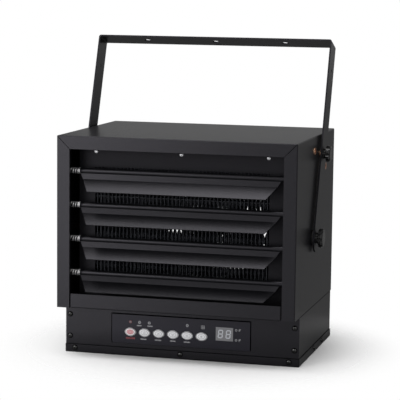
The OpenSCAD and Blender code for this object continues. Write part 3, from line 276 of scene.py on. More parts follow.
element_sheath = finish("element_sheath", (0.045, 0.047, 0.056), 0.6, metal=0.2, grain_mm=0.5, bump=0.4,
                        wander=0.4, shine=0.25)
copper_insert = finish("copper_insert", (0.80, 0.47, 0.30), 0.30, metal=1.0, grain_mm=0.4, bump=0.15)
knob_gloss = finish("knob_gloss", (0.004, 0.004, 0.0045), 0.18, grain_mm=1.2, bump=0.1, shine=0.35)
dark_rubber = finish("dark_rubber", (0.02, 0.02, 0.02), 0.7, grain_mm=0.4, bump=0.4)
board_green = finish("board_green", (0.02, 0.12, 0.06), 0.35, grain_mm=1.5, bump=0.4, wander=0.5)
cream_plastic = finish("cream_plastic", (0.72, 0.68, 0.58), 0.45, grain_mm=0.5, bump=0.2)
lamp_lens = finish("lamp_lens", (0.10, 0.10, 0.11), 0.30, grain_mm=0.3, bump=0.1)
label_film = finish("label_film", (0.004, 0.004, 0.0072), 0.34, grain_mm=0.3, bump=0.25, shine=0.21,
                    tint=cool)
display_window = finish("display_window", (0.16, 0.16, 0.17), 0.25, grain_mm=0.5, bump=0.05)
lit_segment = finish("lit_segment", (0.47, 0.48, 0.52), 0.4, grain_mm=0.5, bump=0.05)
button_grey = finish("button_grey", (0.74, 0.74, 0.76), 0.42, grain_mm=0.35, bump=0.3, wander=0.05)
button_red = finish("button_red", (0.73, 0.69, 0.70), 0.42, grain_mm=0.35, bump=0.3, wander=0.05)

# %% Inks and painted shade
def ink_of(name, colour):
    return finish(name, colour, 0.5, grain_mm=0.2, bump=0.1)

ink_grey = ink_of("ink_grey", (0.33, 0.33, 0.345))
ink_red = ink_of("ink_red", (0.17, 0.013, 0.017))
# painted shade: the darker band along each button's rounded edge
ink_edge = ink_of("ink_edge", (0.12, 0.12, 0.125))
ink_button = ink_of("ink_button", (0.30, 0.30, 0.31))
ink_rose = ink_of("ink_rose", (0.62, 0.32, 0.34))
ink_button_red = ink_of("ink_button_red", (0.42, 0.07, 0.09))
# painted shadow: matt black for the shadow strips in gaps, round the front screws and along the panel's
# recess
painted_shadow_black = finish("painted_shadow_black", (0.0006, 0.0006, 0.0008), 0.9, shine=0.0)

finishes = {
    "black_paint": black_coat, "guard_wire": guard_steel, "bright_steel": bright_steel,
    "black_screw": black_screw, "fan_sheet": fan_sheet, "element_sheath": element_sheath,
    "brass": copper_insert, "knob_plastic": knob_gloss, "dark_plastic": dark_rubber, "label": label_film,
    "display": display_window, "lit_segment": lit_segment, "button_grey": button_grey,
    "button_red": button_red, "circuit_board": board_green, "cream_plastic": cream_plastic,
}
print(len(finishes), "finishes for the record's slots")

# %% [markdown]
# ## Painting the solids
# The record says which material slot each solid belongs to. A solid whose shape is right keeps its mesh
# and only gets the slot's finish. What lies deep inside the casing gets a rougher copy of the coat whose
# darker colour and weaker shine are painted shade.

# %% Paint every solid
slots = {part["node"]: part["material_slot"] for part in frame["record"]["subparts"]}

def paint(obj, mat):
    obj.data.materials.clear()
    obj.data.materials.append(mat)

for name, obj in nodes.items():
    paint(obj, finishes[slots[name]])
# painted shade: these parts deep inside the casing get the darker copy of the coat
deep_inside = ("inner_panel", "inner_duct", "fan_shroud", "motor_mount", "motor_body", "rod_rails",
               "louvre_rods")
for name in deep_inside:
    paint(nodes[name], inner_coat)
paint(nodes["element_end_plates"], element_sheath)
paint(nodes["knob_washers"], black_screw)
paint(nodes["indicator_lamps"], lamp_lens)
print("painted", len(nodes))

# %% [markdown]
# ## Geometry Nodes for what repeats
# Screws, fins, guard wires and spring coils are each one small shape many times over, so each kind is a
# Geometry Nodes tree whose named inputs are its sizes. `tree_of` starts a tree, `close` ends it, and `grow`
# runs it on a few points and keeps the result as a plain mesh.

# %% Tools for the trees
SOLID, COAT = bpy.types.Object, bpy.types.Material
socket_kinds = {int: "NodeSocketInt", float: "NodeSocketFloat", SOLID: "NodeSocketObject",
                COAT: "NodeSocketMaterial"}

def tree_of(name, sizes):
    """Starts a tree whose inputs have the names and starting values given, and returns it with them."""
    tree = bpy.data.node_groups.new(name, "GeometryNodeTree")
    tree.interface.new_socket("Geometry", in_out="OUTPUT", socket_type="NodeSocketGeometry")
    tree.interface.new_socket("Geometry", in_out="INPUT", socket_type="NodeSocketGeometry")
    for label, value in sizes.items():
        only_kind = isinstance(value, type)
        kind = socket_kinds[value if only_kind else type(value)]
        socket = tree.interface.new_socket(label, in_out="INPUT", socket_type=kind)
        if not only_kind:
            socket.default_value = value
    return tree, tree.nodes.new("NodeGroupInput").outputs

def close(tree, geometry, coat):
    """Ends a tree: instances made real, smooth shading, one material."""
    real = put(tree, "GeometryNodeRealizeInstances", {"Geometry": geometry})
    smooth = put(tree, "GeometryNodeSetShadeSmooth", {"Geometry": real.outputs[0]})
    painted = put(tree, "GeometryNodeSetMaterial", {"Geometry": smooth.outputs[0], "Material": coat})
    put(tree, "NodeGroupOutput", {0: painted.outputs[0]})

def vector(tree, x=0.0, y=0.0, z=0.0):
    return put(tree, "ShaderNodeCombineXYZ", {"X": x, "Y": y, "Z": z}).outputs[0]

def set_on(tree, points, shape, **more):
    """The shape on every point."""
    inputs = {"Points": points, "Instance": shape, **more}
    return put(tree, "GeometryNodeInstanceOnPoints", inputs).outputs[0]

def moved(tree, geometry, x=0.0, y=0.0, z=0.0, turn=(0, 0, 0)):
    inputs = {"Geometry": geometry, "Translation": vector(tree, x, y, z), "Rotation": turn}
    return put(tree, "GeometryNodeTransform", inputs).outputs[0]

def joined(tree, *shapes):
    return put(tree, "GeometryNodeJoinGeometry", {"Geometry": list(shapes)}).outputs[0]

# %% Wires and rows
def swept(tree, curve, width, sides=8, caps=True):
    """A curve made a round wire."""
    radius = maths(tree, "MULTIPLY", width, 0.5)
    rim = put(tree, "GeometryNodeCurvePrimitiveCircle", {"Resolution": sides, "Radius": radius})
    inputs = {"Curve": curve, "Profile Curve": rim.outputs[0], "Fill Caps": caps}
    return put(tree, "GeometryNodeCurveToMesh", inputs).outputs[0]

def straight_wire(tree, start, end, width, sides=8):
    line = put(tree, "GeometryNodeCurvePrimitiveLine", {"Start": start, "End": end})
    return swept(tree, line.outputs[0], width, sides)

def even_row(tree, count, pitch, y=0.0, z=0.0):
    """Points in a row along x, as many on the left as on the right."""
    length = maths(tree, "MULTIPLY", maths(tree, "SUBTRACT", count, 1.0), pitch)
    start = vector(tree, maths(tree, "MULTIPLY", length, -0.5), y, z)
    inputs = {"Count": count, "Start Location": start, "Offset": vector(tree, pitch)}
    return put(tree, "GeometryNodeMeshLine", inputs).outputs[0]

# %% From a tree to a piece
def add_piece(name, mesh, body, stands_for):
    obj = bpy.data.objects.new(name, mesh)
    scene.collection.objects.link(obj)
    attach(obj, body)
    if stands_for:
        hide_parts(*stands_for)

def points_mesh(name, places, **attributes):
    """A mesh of loose points, each with the vectors that a tree reads by name."""
    mesh = bpy.data.meshes.new(name)
    mesh.from_pydata([tuple(p) for p in places], [], [])
    for label, values in attributes.items():
        layer = mesh.attributes.new(label, "FLOAT_VECTOR", "POINT")
        for item, value in zip(layer.data, values):
            item.vector = value
    return mesh

def grow(name, mesh, tree, inputs, stands_for, sharp=32):
    """Runs a tree on a mesh of points and puts the result on the casing.
    An edge that bends by more than sharp degrees stays sharp."""
    seed = bpy.data.objects.new(name + "_points", mesh)
    scene.collection.objects.link(seed)
    modifier = seed.modifiers.new("grow", "NODES")
    modifier.node_group = tree
    for item in tree.interface.items_tree:
        if item.in_out == "INPUT" and item.name in inputs:
            modifier[item.identifier] = inputs[item.name]
    bpy.context.view_layer.update()
    grown = bpy.data.meshes.new_from_object(seed.evaluated_get(bpy.context.evaluated_depsgraph_get()))
    bpy.data.objects.remove(seed)
    for layer in [a for a in grown.attributes if a.name in ("facing", "head", "shank")]:
        grown.attributes.remove(layer)
    grown.set_sharp_from_angle(angle=math.radians(sharp))
    print(name, len(grown.polygons), "faces")
    add_piece(name, grown, "casing", [stands_for])

# %% [markdown]
# ## Louvre springs
# A small zinc-plated compression spring sits on each louvre's rod and pushes the louvre to the right, so
# that it can be pushed back by hand and lifted out. A wire wound round a cylinder is a straight line bent by
# a rule: each point's angle grows evenly along the wire, while its place along the rod grows slowly in the
# closed coils at both ends and quickly in the open coils between. Set Position applies that rule.

# %% The spring tree
tree, given = tree_of("spring", {"Turns": 8, "Length": 27.15 * mm, "Coil radius": 4.2 * mm,
                                 "Wire": 1.3 * mm, "Coat": COAT})
steps_a_turn, closed_pitch = 20.0, 1.06
turns, wire_d = given["Turns"], given["Wire"]
line = put(tree, "GeometryNodeCurvePrimitiveLine", {"Start": (0, 0, 0), "End": (1, 0, 0)})
steps = maths(tree, "MULTIPLY", turns, steps_a_turn)
wire = put(tree, "GeometryNodeResampleCurve", {"Curve": line.outputs[0], "Count": steps})
along = put(tree, "GeometryNodeSplineParameter").outputs["Factor"]
turn = maths(tree, "MULTIPLY", along, turns)
angle = maths(tree, "MULTIPLY", turn, 2 * math.pi)
closed_coil = maths(tree, "MULTIPLY", wire_d, closed_pitch)
wound_length = maths(tree, "SUBTRACT", given["Length"], wire_d)
open_length = maths(tree, "SUBTRACT", wound_length, maths(tree, "MULTIPLY", closed_coil, 2.0))
open_pitch = maths(tree, "DIVIDE", open_length, maths(tree, "SUBTRACT", turns, 2.0))
open_coils = maths(tree, "MULTIPLY_ADD", maths(tree, "SUBTRACT", turn, 1.0), open_pitch, closed_coil)
first_coil = maths(tree, "MULTIPLY", turn, closed_coil)
last_coil = maths(tree, "MULTIPLY_ADD", maths(tree, "SUBTRACT", turn, turns), closed_coil, wound_length)
place = maths(tree, "MINIMUM", maths(tree, "MAXIMUM", open_coils, first_coil), last_coil)
wound = vector(tree, maths(tree, "ADD", place, maths(tree, "MULTIPLY", wire_d, 0.5)),
               maths(tree, "MULTIPLY", maths(tree, "SINE", angle), given["Coil radius"]),
               maths(tree, "MULTIPLY", maths(tree, "COSINE", angle), given["Coil radius"]))
coil = put(tree, "GeometryNodeSetPosition", {"Geometry": wire.outputs[0], "Position": wound})
close(tree, set_on(tree, given["Geometry"], swept(tree, coil.outputs[0], wire_d)), given["Coat"])

# %% The four springs
spring_low, spring_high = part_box("louvre_springs")
spring_mid_y = (spring_low[1] + spring_high[1]) / 2
louvre_axes = [285.0 * mm, 232.9 * mm, 180.8 * mm, 128.7 * mm]
spring_points = points_mesh("spring_points", [(spring_low[0], spring_mid_y, z) for z in louvre_axes])
grow("springs", spring_points, tree, {"Length": spring_high[0] - spring_low[0], "Coat": spring_zinc},
     "louvre_springs", sharp=80)

# %% [markdown]
# ## Screws
# Sheet-metal screws with pan heads and a cross recess hold the casing: bright ones on the inner panel, black
# ones outside. One head and one shank are turned in mesh code, the recess is cut with a tapered cross, and a
# tree sets them on the places that are measured on the solids. Each head is turned by a different angle with
# a fixed seed, as screws are never left in line.

# %% Turned shapes
def turned(name, outline_mm, sides):
    """A closed shape turned from (radius, height) points, in millimetres, round the z axis."""
    bm = bmesh.new()
    rings = []
    for r, z in outline_mm:
        angles = round_angles(sides) if r else [0.0]
        rings.append([bm.verts.new((r * mm * math.cos(a), r * mm * math.sin(a), z * mm)) for a in angles])
    for low, high in zip(rings, rings[1:]):
        for i in range(sides):
            j = (i + 1) % sides
            corners = [low[i % len(low)], low[j % len(low)], high[j % len(high)], high[i % len(high)]]
            bm.faces.new(list(dict.fromkeys(corners)))
    return made_mesh(name, bm)

def tool(name, mesh):
    obj = bpy.data.objects.new(name, mesh)
    scene.collection.objects.link(obj)
    return obj

def cross_cutter(size, top, depth, arm_share=0.24, floor_share=0.42, floor_arm=0.768):
    """A cross that tapers downwards. Its floor is shorter and narrower than its top by the shares given."""
    bm = bmesh.new()
    for turn_by in (0, math.pi / 2):
        arm = bmesh.ops.create_cube(bm, size=1.0)["verts"]
        for v in arm:
            long, wide, z = (1, 1, top) if v.co.z > 0 else (floor_share, floor_arm, top - depth)
            v.co = Vector((v.co.x * size * long, v.co.y * size * arm_share * wide, z))
        bmesh.ops.rotate(bm, verts=arm, cent=(0, 0, 0), matrix=Matrix.Rotation(turn_by, 3, "Z"))
    return made_mesh("cross", bm, outwards=False)

# %% One screw head and one shank
head_w, head_h, shank_l, threads = 7.0 * mm, 2.2 * mm, 8.0 * mm, 7
head_outline = [(0, 0), (3.35, 0), (3.5, 0.12), (3.5, 0.75), (3.36, 1.12),
                (3.0, 1.5), (2.4, 1.84), (1.6, 2.07), (0.8, 2.18), (0, 2.2)]
thread_outline = [point for k in range(threads) for point in ((1.5, -0.2 - k), (1.8, -0.7 - k))]
shank_outline = [(0, 0)] + thread_outline + [(1.45, -7.3), (0.3, -8.0), (0, -8.0)]
screw_head = tool("screw_head", turned("screw_head", head_outline, 28))
screw_shank = tool("screw_shank", turned("screw_shank", shank_outline, 14))
cutter = tool("screw_cross", cross_cutter(size=4.4 * mm, top=2.6 * mm, depth=1.9 * mm))
cut = screw_head.modifiers.new("cross", "BOOLEAN")
cut.object, cut.operation, cut.solver = cutter, "DIFFERENCE", "EXACT"
cut.use_self = True
bpy.context.view_layer.update()
cut_head = bpy.data.meshes.new_from_object(screw_head.evaluated_get(bpy.context.evaluated_depsgraph_get()))
screw_head.modifiers.clear()
screw_head.data = cut_head
bpy.data.objects.remove(cutter)
print("head", len(cut_head.polygons), "faces, shank", len(screw_shank.data.polygons))

# %% Where the screws sit
def islands(node):
    """The separate solids of a node, each as a list of its points."""
    mesh = nodes[node].data
    keys = [tuple(round(c * 1e5) for c in v.co) for v in mesh.vertices]
    owner = {key: key for key in keys}
    def root_of(key):
        while owner[key] != key:
            owner[key] = owner[owner[key]]
            key = owner[key]
        return key
    for edge in mesh.edges:
        a, b = (root_of(keys[i]) for i in edge.vertices)
        owner[a] = b
    groups = {}
    for v, key in zip(mesh.vertices, keys):
        groups.setdefault(root_of(key), []).append(v.co.copy())
    return list(groups.values())

def screw_places(node, rim_share=0.42):
    """For each screw: the seat under its head, the way it faces, its head's diameter and its length."""
    found = []
    for cloud in islands(node):
        low, high = (Vector([pick(v[i] for v in cloud) for i in range(3)]) for pick in (min, max))
        size, middle = high - low, (low + high) / 2
        axis = max(range(3), key=lambda i: abs(size[i] - sorted(size)[1]))
        wide = max(size[i] for i in range(3) if i != axis)
        lengthwise = Vector([float(i == axis) for i in range(3)])
        offsets = [v - middle for v in cloud]
        head_rim = [o[axis] for o in offsets if (o - lengthwise * o[axis]).length > wide * rim_share]
        facing = lengthwise * (1 if sum(head_rim) > 0 else -1)
        seat = middle + facing * (size[axis] / 2 - head_h)
        found.append((seat, facing, wide, size[axis] - head_h))
    return found

# %% The screw tree
tree, given = tree_of("screws", {"Head": SOLID, "Shank": SOLID, "Seed": 5, "Coat": COAT})

def named(label):
    return put(tree, "GeometryNodeInputNamedAttribute", {"Name": label}, data_type="FLOAT_VECTOR").outputs[0]

aim = put(tree, "FunctionNodeAlignRotationToVector", {"Vector": named("facing")}, axis="Z")
spin = put(tree, "FunctionNodeRandomValue", {2: 0.0, 3: math.pi, "Seed": given["Seed"]}, data_type="FLOAT")
twist = put(tree, "FunctionNodeAxisAngleToRotation", {"Axis": (0, 0, 1), "Angle": spin.outputs[1]})
aim_and_twist = {"Rotation": aim.outputs[0], "Rotate By": twist.outputs[0]}
turned_aim = put(tree, "FunctionNodeRotateRotation", aim_and_twist, rotation_space="LOCAL").outputs[0]
both = []
for part in ("Head", "Shank"):
    shape = put(tree, "GeometryNodeObjectInfo", {"Object": given[part]}).outputs["Geometry"]
    both.append(set_on(tree, given["Geometry"], shape, Rotation=turned_aim, Scale=named(part.lower())))
close(tree, joined(tree, *both), given["Coat"])

# %% Every group of screws
for seed, node in enumerate((n for n in nodes if n.endswith("_screws")), start=3):
    seats, ways, widths, lengths = zip(*screw_places(node))
    across = [width / head_w for width in widths]
    heads = [(share, share, 1) for share in across]
    shanks = [(share, share, length / shank_l) for share, length in zip(across, lengths)]
    points = points_mesh(node + "_points", seats, facing=ways, head=heads, shank=shanks)
    sizes = {"Head": screw_head, "Shank": screw_shank, "Seed": seed, "Coat": finishes[slots[node]]}
    grow(node.replace("_screws", "_pan_screws"), points, tree, sizes, node)
for spare in (screw_head, screw_shank):
    bpy.data.objects.remove(spare)

# %% [markdown]
# ## Air guard
# Upright wires stand behind the opening of the inner panel, so that no finger reaches the element. They are
# one wire set out in an even row, with two cross wires welded over them and a flat strip at the top and the
# bottom. A row of points and one swept line make the upright wires, and the cross wires are swept as well.

# %% Air guard wires
tree, given = tree_of("air_guard", {
    "Wires": 46, "Pitch": 5.9 * mm, "Low": 98.5 * mm, "High": 295.0 * mm, "Depth": -101.5 * mm,
    "Wire": 1.6 * mm, "Cross wire": 2.0 * mm, "Half width": 138.0 * mm, "Cross low": 171.25 * mm,
    "Cross high": 245.25 * mm, "Coat": COAT})
strip_w, strip_t, strip_h = 284.0 * mm, 1.2 * mm, 6.0 * mm
strip_back, strip_lap, strip_past_wires = 1.1 * mm, 1.0 * mm, 4.0 * mm
depth, half_w = given["Depth"], given["Half width"]
upright = straight_wire(tree, vector(tree, 0.0, depth, given["Low"]), vector(tree, 0.0, depth, given["High"]),
                        given["Wire"])
shapes = [set_on(tree, even_row(tree, given["Wires"], given["Pitch"]), upright)]
for end, lap in (("Low", strip_lap), ("High", -strip_lap)):
    strip = put(tree, "GeometryNodeMeshCube", {"Size": (strip_w, strip_t, strip_h)})
    strip_y = maths(tree, "SUBTRACT", depth, strip_back)
    shapes.append(moved(tree, strip.outputs[0], 0.0, strip_y, maths(tree, "ADD", given[end], lap)))
both_wires = maths(tree, "ADD", given["Wire"], given["Cross wire"])
front = maths(tree, "ADD", depth, maths(tree, "MULTIPLY", both_wires, 0.5))
left_end = maths(tree, "MULTIPLY", half_w, -1.0)
for z in (given["Cross low"], given["Cross high"]):
    ends = (vector(tree, left_end, front, z), vector(tree, half_w, front, z))
    shapes.append(straight_wire(tree, *ends, given["Cross wire"]))
close(tree, joined(tree, *shapes), given["Coat"])
guard_low, guard_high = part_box("air_guard")
strip_reach = strip_h / 2 - strip_lap
grow("air_guard_wires", points_mesh("air_guard_seed", [(0, 0, 0)]), tree,
     {"Depth": guard_low[1] + strip_back + strip_t / 2, "Low": guard_low[2] + strip_reach,
      "High": guard_high[2] - strip_reach, "Half width": guard_high[0] - strip_past_wires,
      "Coat": guard_steel}, "air_guard", sharp=60)

# %% [markdown]
# ## Rear guard
# Eight wire rings on four ribs cover the fan's inlet at the back. The rings differ only in size, so one curve
# circle is set on eight points that lie in one place, scaled by each point's number, and only then swept with
# the wire, which keeps the wire equally thick on all of them.

# %% Rear guard
tree, given = tree_of("rear_guard", {
    "Rings": 8, "First ring": 39.0 * mm, "Ring pitch": 11.0 * mm, "Wire": 2.4 * mm, "Rib": 3.2 * mm,
    "Rib start": 2.0 * mm, "Rib length": 117.0 * mm, "Ring height": 3.8 * mm, "Rib height": 1.6 * mm,
    "Tab": SOLID, "Depth": 141.0 * mm, "Middle": 208.25 * mm, "Coat": COAT})
number = put(tree, "GeometryNodeInputIndex").outputs[0]
one_spot = put(tree, "GeometryNodePoints", {"Count": given["Rings"]}).outputs[0]
unit_ring = put(tree, "GeometryNodeCurvePrimitiveCircle", {"Resolution": 72, "Radius": 1.0}).outputs[0]
reach = maths(tree, "MULTIPLY_ADD", number, given["Ring pitch"], given["First ring"])
rings = set_on(tree, one_spot, unit_ring, Scale=vector(tree, reach, reach, reach))
ring_paths = put(tree, "GeometryNodeRealizeInstances", {"Geometry": rings}).outputs[0]
ring_wires = swept(tree, ring_paths, given["Wire"], sides=10, caps=False)
lifted = moved(tree, ring_wires, z=given["Ring height"])
rib = straight_wire(tree, vector(tree, given["Rib start"], 0.0, given["Rib height"]),
                    vector(tree, given["Rib length"], 0.0, given["Rib height"]), given["Rib"], sides=12)
tab = put(tree, "GeometryNodeObjectInfo", {"Object": given["Tab"]}).outputs["Geometry"]
four_spots = put(tree, "GeometryNodePoints", {"Count": 4}).outputs[0]
quarter = maths(tree, "MULTIPLY_ADD", number, math.pi / 2, math.pi / 4)
arms = set_on(tree, four_spots, joined(tree, rib, tab), Rotation=vector(tree, 0.0, 0.0, quarter))
stood_up = moved(tree, joined(tree, lifted, arms), 0.0, given["Depth"], given["Middle"], (-math.pi / 2, 0, 0))
close(tree, stood_up, given["Coat"])

# %% The guard's tabs
def tab_mesh(reach, half, back, thick, hole, sides=24):
    """A flat tab round a screw hole: half a disc outwards, a square towards the guard's middle."""
    def outer(a):
        if math.cos(a) > 0:
            return half
        return min(back / max(-math.cos(a), 1e-6), half / max(abs(math.sin(a)), 1e-6))
    bm = bmesh.new()
    loops = []
    for z in (0.0, thick):
        for radius in (outer, lambda a: hole):
            loops.append([bm.verts.new((reach + radius(a) * math.cos(a), radius(a) * math.sin(a), z))
                          for a in round_angles(sides)])
    low_out, low_in, high_out, high_in = loops
    for a, b in ((low_in, low_out), (high_out, high_in), (low_out, high_out), (high_in, low_in)):
        skin(bm, a, b)
    return made_mesh("tab", bm)

back_low, back_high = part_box("rear_guard")
tab_sizes = {"reach": 120 * mm, "half": 5 * mm, "back": 10 * mm, "thick": 1.4 * mm, "hole": 1.8 * mm}
guard_tab = tool("guard_tab", tab_mesh(**tab_sizes))
guard_middle = (back_low[2] + back_high[2]) / 2
grow("rear_guard_wires", points_mesh("rear_guard_seed", [(0, 0, 0)]), tree,
     {"Tab": guard_tab, "Depth": back_low[1], "Middle": guard_middle, "Coat": black_coat},
     "rear_guard", sharp=50)
bpy.data.objects.remove(guard_tab)

# %% [markdown]
# ## Finned elements
# Each element is a steel-sheathed tube bent to a hairpin, with thin fins crimped on its straight legs. A fin
# is repeated two hundred and forty times, so it has fewer than a hundred faces: a washer whose inner edge is
# waved, as a strip gets when it is wound on edge. The tree sweeps the tube along a drawn path and sets two
# rows of fins on it.

# %% One fin
fin_r, fin_hole_r, fin_t, fin_waves, fin_wave = 12.5 * mm, 4.2 * mm, 0.5 * mm, 8, 0.5 * mm

def fin_mesh(sides=24):
    bm = bmesh.new()
    loops = []
    for x in (-fin_t / 2, fin_t / 2):
        for r, wave in ((fin_hole_r, fin_wave), (fin_r, 0.0)):
            loops.append([bm.verts.new((x + wave * math.sin(fin_waves * a), r * math.cos(a), r * math.sin(a)))
                          for a in round_angles(sides)])
    low_in, low_out, high_in, high_out = loops
    for a, b in ((low_in, low_out), (low_out, high_out), (high_out, high_in), (high_in, low_in)):
        skin(bm, a, b)
    return made_mesh("fin", bm)

# %% The element tree
tube_d = 8.5 * mm
tree, given = tree_of("element", {"Fins": 40, "Pitch": 6.5 * mm, "Tube": tube_d, "Row": -80.0 * mm,
                                  "Upper leg": 289.0 * mm, "Lower leg": 241.0 * mm, "Fin": SOLID,
                                  "Coat": COAT})
path = put(tree, "GeometryNodeMeshToCurve", {"Mesh": given["Geometry"]}).outputs[0]
shapes = [swept(tree, path, given["Tube"], sides=16)]
one_fin = put(tree, "GeometryNodeObjectInfo", {"Object": given["Fin"]}).outputs["Geometry"]
for leg in ("Upper leg", "Lower leg"):
    fin_row = even_row(tree, given["Fins"], given["Pitch"], given["Row"], given[leg])
    shapes.append(set_on(tree, fin_row, one_fin))
close(tree, joined(tree, *shapes), given["Coat"])

# %% The three elements
def hairpin_path(end_x, bend_x, y, top, low, steps=16):
    middle, r = (top + low) / 2, (top - low) / 2
    angles = [math.pi * k / steps for k in range(steps + 1)]
    bend = [(bend_x - r * math.sin(a), y, middle + r * math.cos(a)) for a in angles]
    places = [(end_x, y, top)] + bend + [(end_x, y, low)]
    mesh = bpy.data.meshes.new("hairpin")
    mesh.from_pydata(places, [(i, i + 1) for i in range(len(places) - 1)], [])
    return mesh

fin_shape = tool("fin", fin_mesh())
for name in ("element_upper", "element_lower", "element_rear"):
    low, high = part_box(name)
    top_leg, low_leg, row_y = high[2] - fin_r, low[2] + fin_r, (low[1] + high[1]) / 2
    bend_x = low[0] + (top_leg - low_leg) / 2 + tube_d / 2
    drawn_path = hairpin_path(high[0], bend_x, row_y, top_leg, low_leg)
    grow(name.replace("element", "finned_element"), drawn_path, tree,
         {"Row": row_y, "Upper leg": top_leg, "Lower leg": low_leg, "Fin": fin_shape, "Coat": element_sheath},
         name, sharp=40)
bpy.data.objects.remove(fin_shape)

# %% [markdown]
# ## Print and painted shadow
# The button panel is a printed film. Its print is thin ink plates that stand a twentieth of a millimetre
# proud, so they ride with the panel and show in any renderer. Rows of short blocks stand for small captions,
# and a black strip along the film's top and right edges is painted shadow of the recess the film sits in.

# %% Plates for print and painted shadow
ink_proud, ink_sunk = 0.05 * mm, 0.03 * mm

def plate(bm, outline, height):
    """A closed plate with the outline given in x and z, whose back follows height(x, z)."""
    back = [bm.verts.new((x, height(x, z) + ink_sunk, z)) for x, z in outline]
    face = [bm.verts.new((x, height(x, z) - ink_proud, z)) for x, z in outline]
    bm.faces.new(face)
    bm.faces.new(back[::-1])
    skin(bm, back, face)

def bar(bm, x, z, w, h, height, lean=0.0):
    cosine, sine = math.cos(lean), math.sin(lean)
    corners = ((-w / 2, -h / 2), (w / 2, -h / 2), (w / 2, h / 2), (-w / 2, h / 2))
    plate(bm, [(x + (u * cosine - v * sine), z + (u * sine + v * cosine)) for u, v in corners], height)

def ring(bm, x, z, rx, rz, width, height, start=0.0, end=360.0, sides=28):
    steps = max(3, round(sides * (end - start) / 360))
    angles = [math.radians(start + (end - start) * k / steps) for k in range(steps + 1)]
    for a, b in zip(angles, angles[1:]):
        corners = ((a, 0), (b, 0), (b, width), (a, width))
        outline = [(x + (rx - inset) * math.cos(turn), z + (rz - inset) * math.sin(turn))
                   for turn, inset in corners]
        plate(bm, outline, height)

def caption(bm, x, z, w, h, height, blocks):
    """A row of short blocks of unequal width, in place of a small printed word."""
    step = w / blocks
    for k in range(blocks):
        wide = step * (0.78 if k % 3 else 0.62)
        bar(bm, x - w / 2 + (k + 0.5) * step, z, wide, h * (1.0 if k % 2 else 0.86), height)

def flat_at(y):
    """The height of a flat face that stands at y."""
    return lambda x, z: y

def printed(name, bm, coat, body):
    mesh = made_mesh(name, bm)
    mesh.materials.append(coat)
    print(name, len(mesh.polygons), "faces on", body)
    add_piece(name, mesh, body, ())

# %% Print on the panel
film_low, film_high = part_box("control_label")
on_film = flat_at(film_low[1])
grey_print, red_print = bmesh.new(), bmesh.new()
grey_captions_mm = (
    (-66.3, 47.6, 7.6, 5), (-49.2, 47.8, 8.4, 6), (-59.5, 26.9, 9.6, 6),
    (-36.1, 27.0, 10.4, 7), (-12.7, 27.0, 8.6, 6), (9.9, 26.9, 10.4, 7),
)
for x, z, w, blocks in grey_captions_mm:
    caption(grey_print, x * mm, z * mm, w * mm, 1.9 * mm, on_film, blocks)
caption(red_print, -80.3 * mm, 27.3 * mm, 15.0 * mm, 2.8 * mm, on_film, 6)

grid_x, grid_z = 34.6, 51.5
for k in (-1, 0, 1):
    bar(grey_print, grid_x * mm, (grid_z + 2.1 * k) * mm, 5.8 * mm, 0.7 * mm, on_film)
    bar(grey_print, (grid_x + 2.5 * k) * mm, grid_z * mm, 0.5 * mm, 5.6 * mm, on_film)

unit_marks_mm = ((86.6, 50.2), (86.7, 34.9))
for x, z in unit_marks_mm:
    ring(grey_print, x * mm, z * mm, 1.7 * mm, 1.7 * mm, 0.6 * mm, on_film)
    bar(grey_print, (x + 4.6) * mm, z * mm, 0.8 * mm, 3.4 * mm, on_film)
    bar(grey_print, (x + 6.0) * mm, (z + 1.4) * mm, 2.6 * mm, 0.7 * mm, on_film)
    bar(grey_print, (x + 5.8) * mm, (z - 0.1) * mm, 2.0 * mm, 0.6 * mm, on_film)

lamp_ring_r = 2.2 * mm
for k, cloud in enumerate(sorted(islands("indicator_lamps"), key=lambda c: c[0][0])):
    x, z = (sum(v[i] for v in cloud) / len(cloud) for i in (0, 2))
    ring(grey_print if k else red_print, x, z, lamp_ring_r, lamp_ring_r, 0.6 * mm, on_film)

# %% Painted shadow along the panel's top and right edges
recess_shadow = bmesh.new()
top_band, side_band = 1.9 * mm, 1.7 * mm
film_w, film_h = film_high[0] - film_low[0], film_high[2] - film_low[2]
film_mid_x, film_mid_z = (film_low[0] + film_high[0]) / 2, (film_low[2] + film_high[2]) / 2
# painted shadow: black bands along the film's top and right edges, where the recess's edge shades it
bar(recess_shadow, film_mid_x, film_high[2] - 1.0 * mm, film_w - 0.4 * mm, top_band, on_film)
bar(recess_shadow, film_high[0] - 1.0 * mm, film_mid_z - 0.8 * mm, side_band, film_h - 2.4 * mm, on_film)
printed("panel_border", recess_shadow, painted_shadow_black, "casing")
printed("panel_print", grey_print, ink_grey, "casing")
printed("panel_print_red", red_print, ink_red, "casing")

# %% [markdown]
# ## Painted gap shadows
# The tray's rim laps over the base, and the shade in the thin gap above it is painted as a black line on
# three sides. The hood laps over the base's sides in the same way, with painted shade in its gap below its
# edge. A ring of painted shadow also surrounds each screw head of the front, where its rim stands clear of
# the coat. All of them are thin matt black strips.

# %% Painted gap shadows
gap_shadows = bmesh.new()
shell_low, shell_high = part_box("base_shell")
fascia_y, rim_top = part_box("control_fascia")[0][1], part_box("bottom_tray")[1][2]
proud, rim_shadow_h, hood_shadow_h = 0.05 * mm, 0.9 * mm, 1.8 * mm
above_rim, below_hood = (rim_top + rim_shadow_h / 2, rim_shadow_h), (shell_high[2] - hood_shadow_h / 2, hood_shadow_h)
left_side = ((shell_low[0] - proud, fascia_y), (shell_low[0], shell_high[1]))
right_side = ((shell_high[0], fascia_y), (shell_high[0] + proud, shell_high[1]))
front_side = ((shell_low[0], fascia_y - proud), (shell_high[0], fascia_y))
gap_shadow_lines = ((front_side, above_rim), (left_side, above_rim), (right_side, above_rim),
              (left_side, below_hood), (right_side, below_hood))
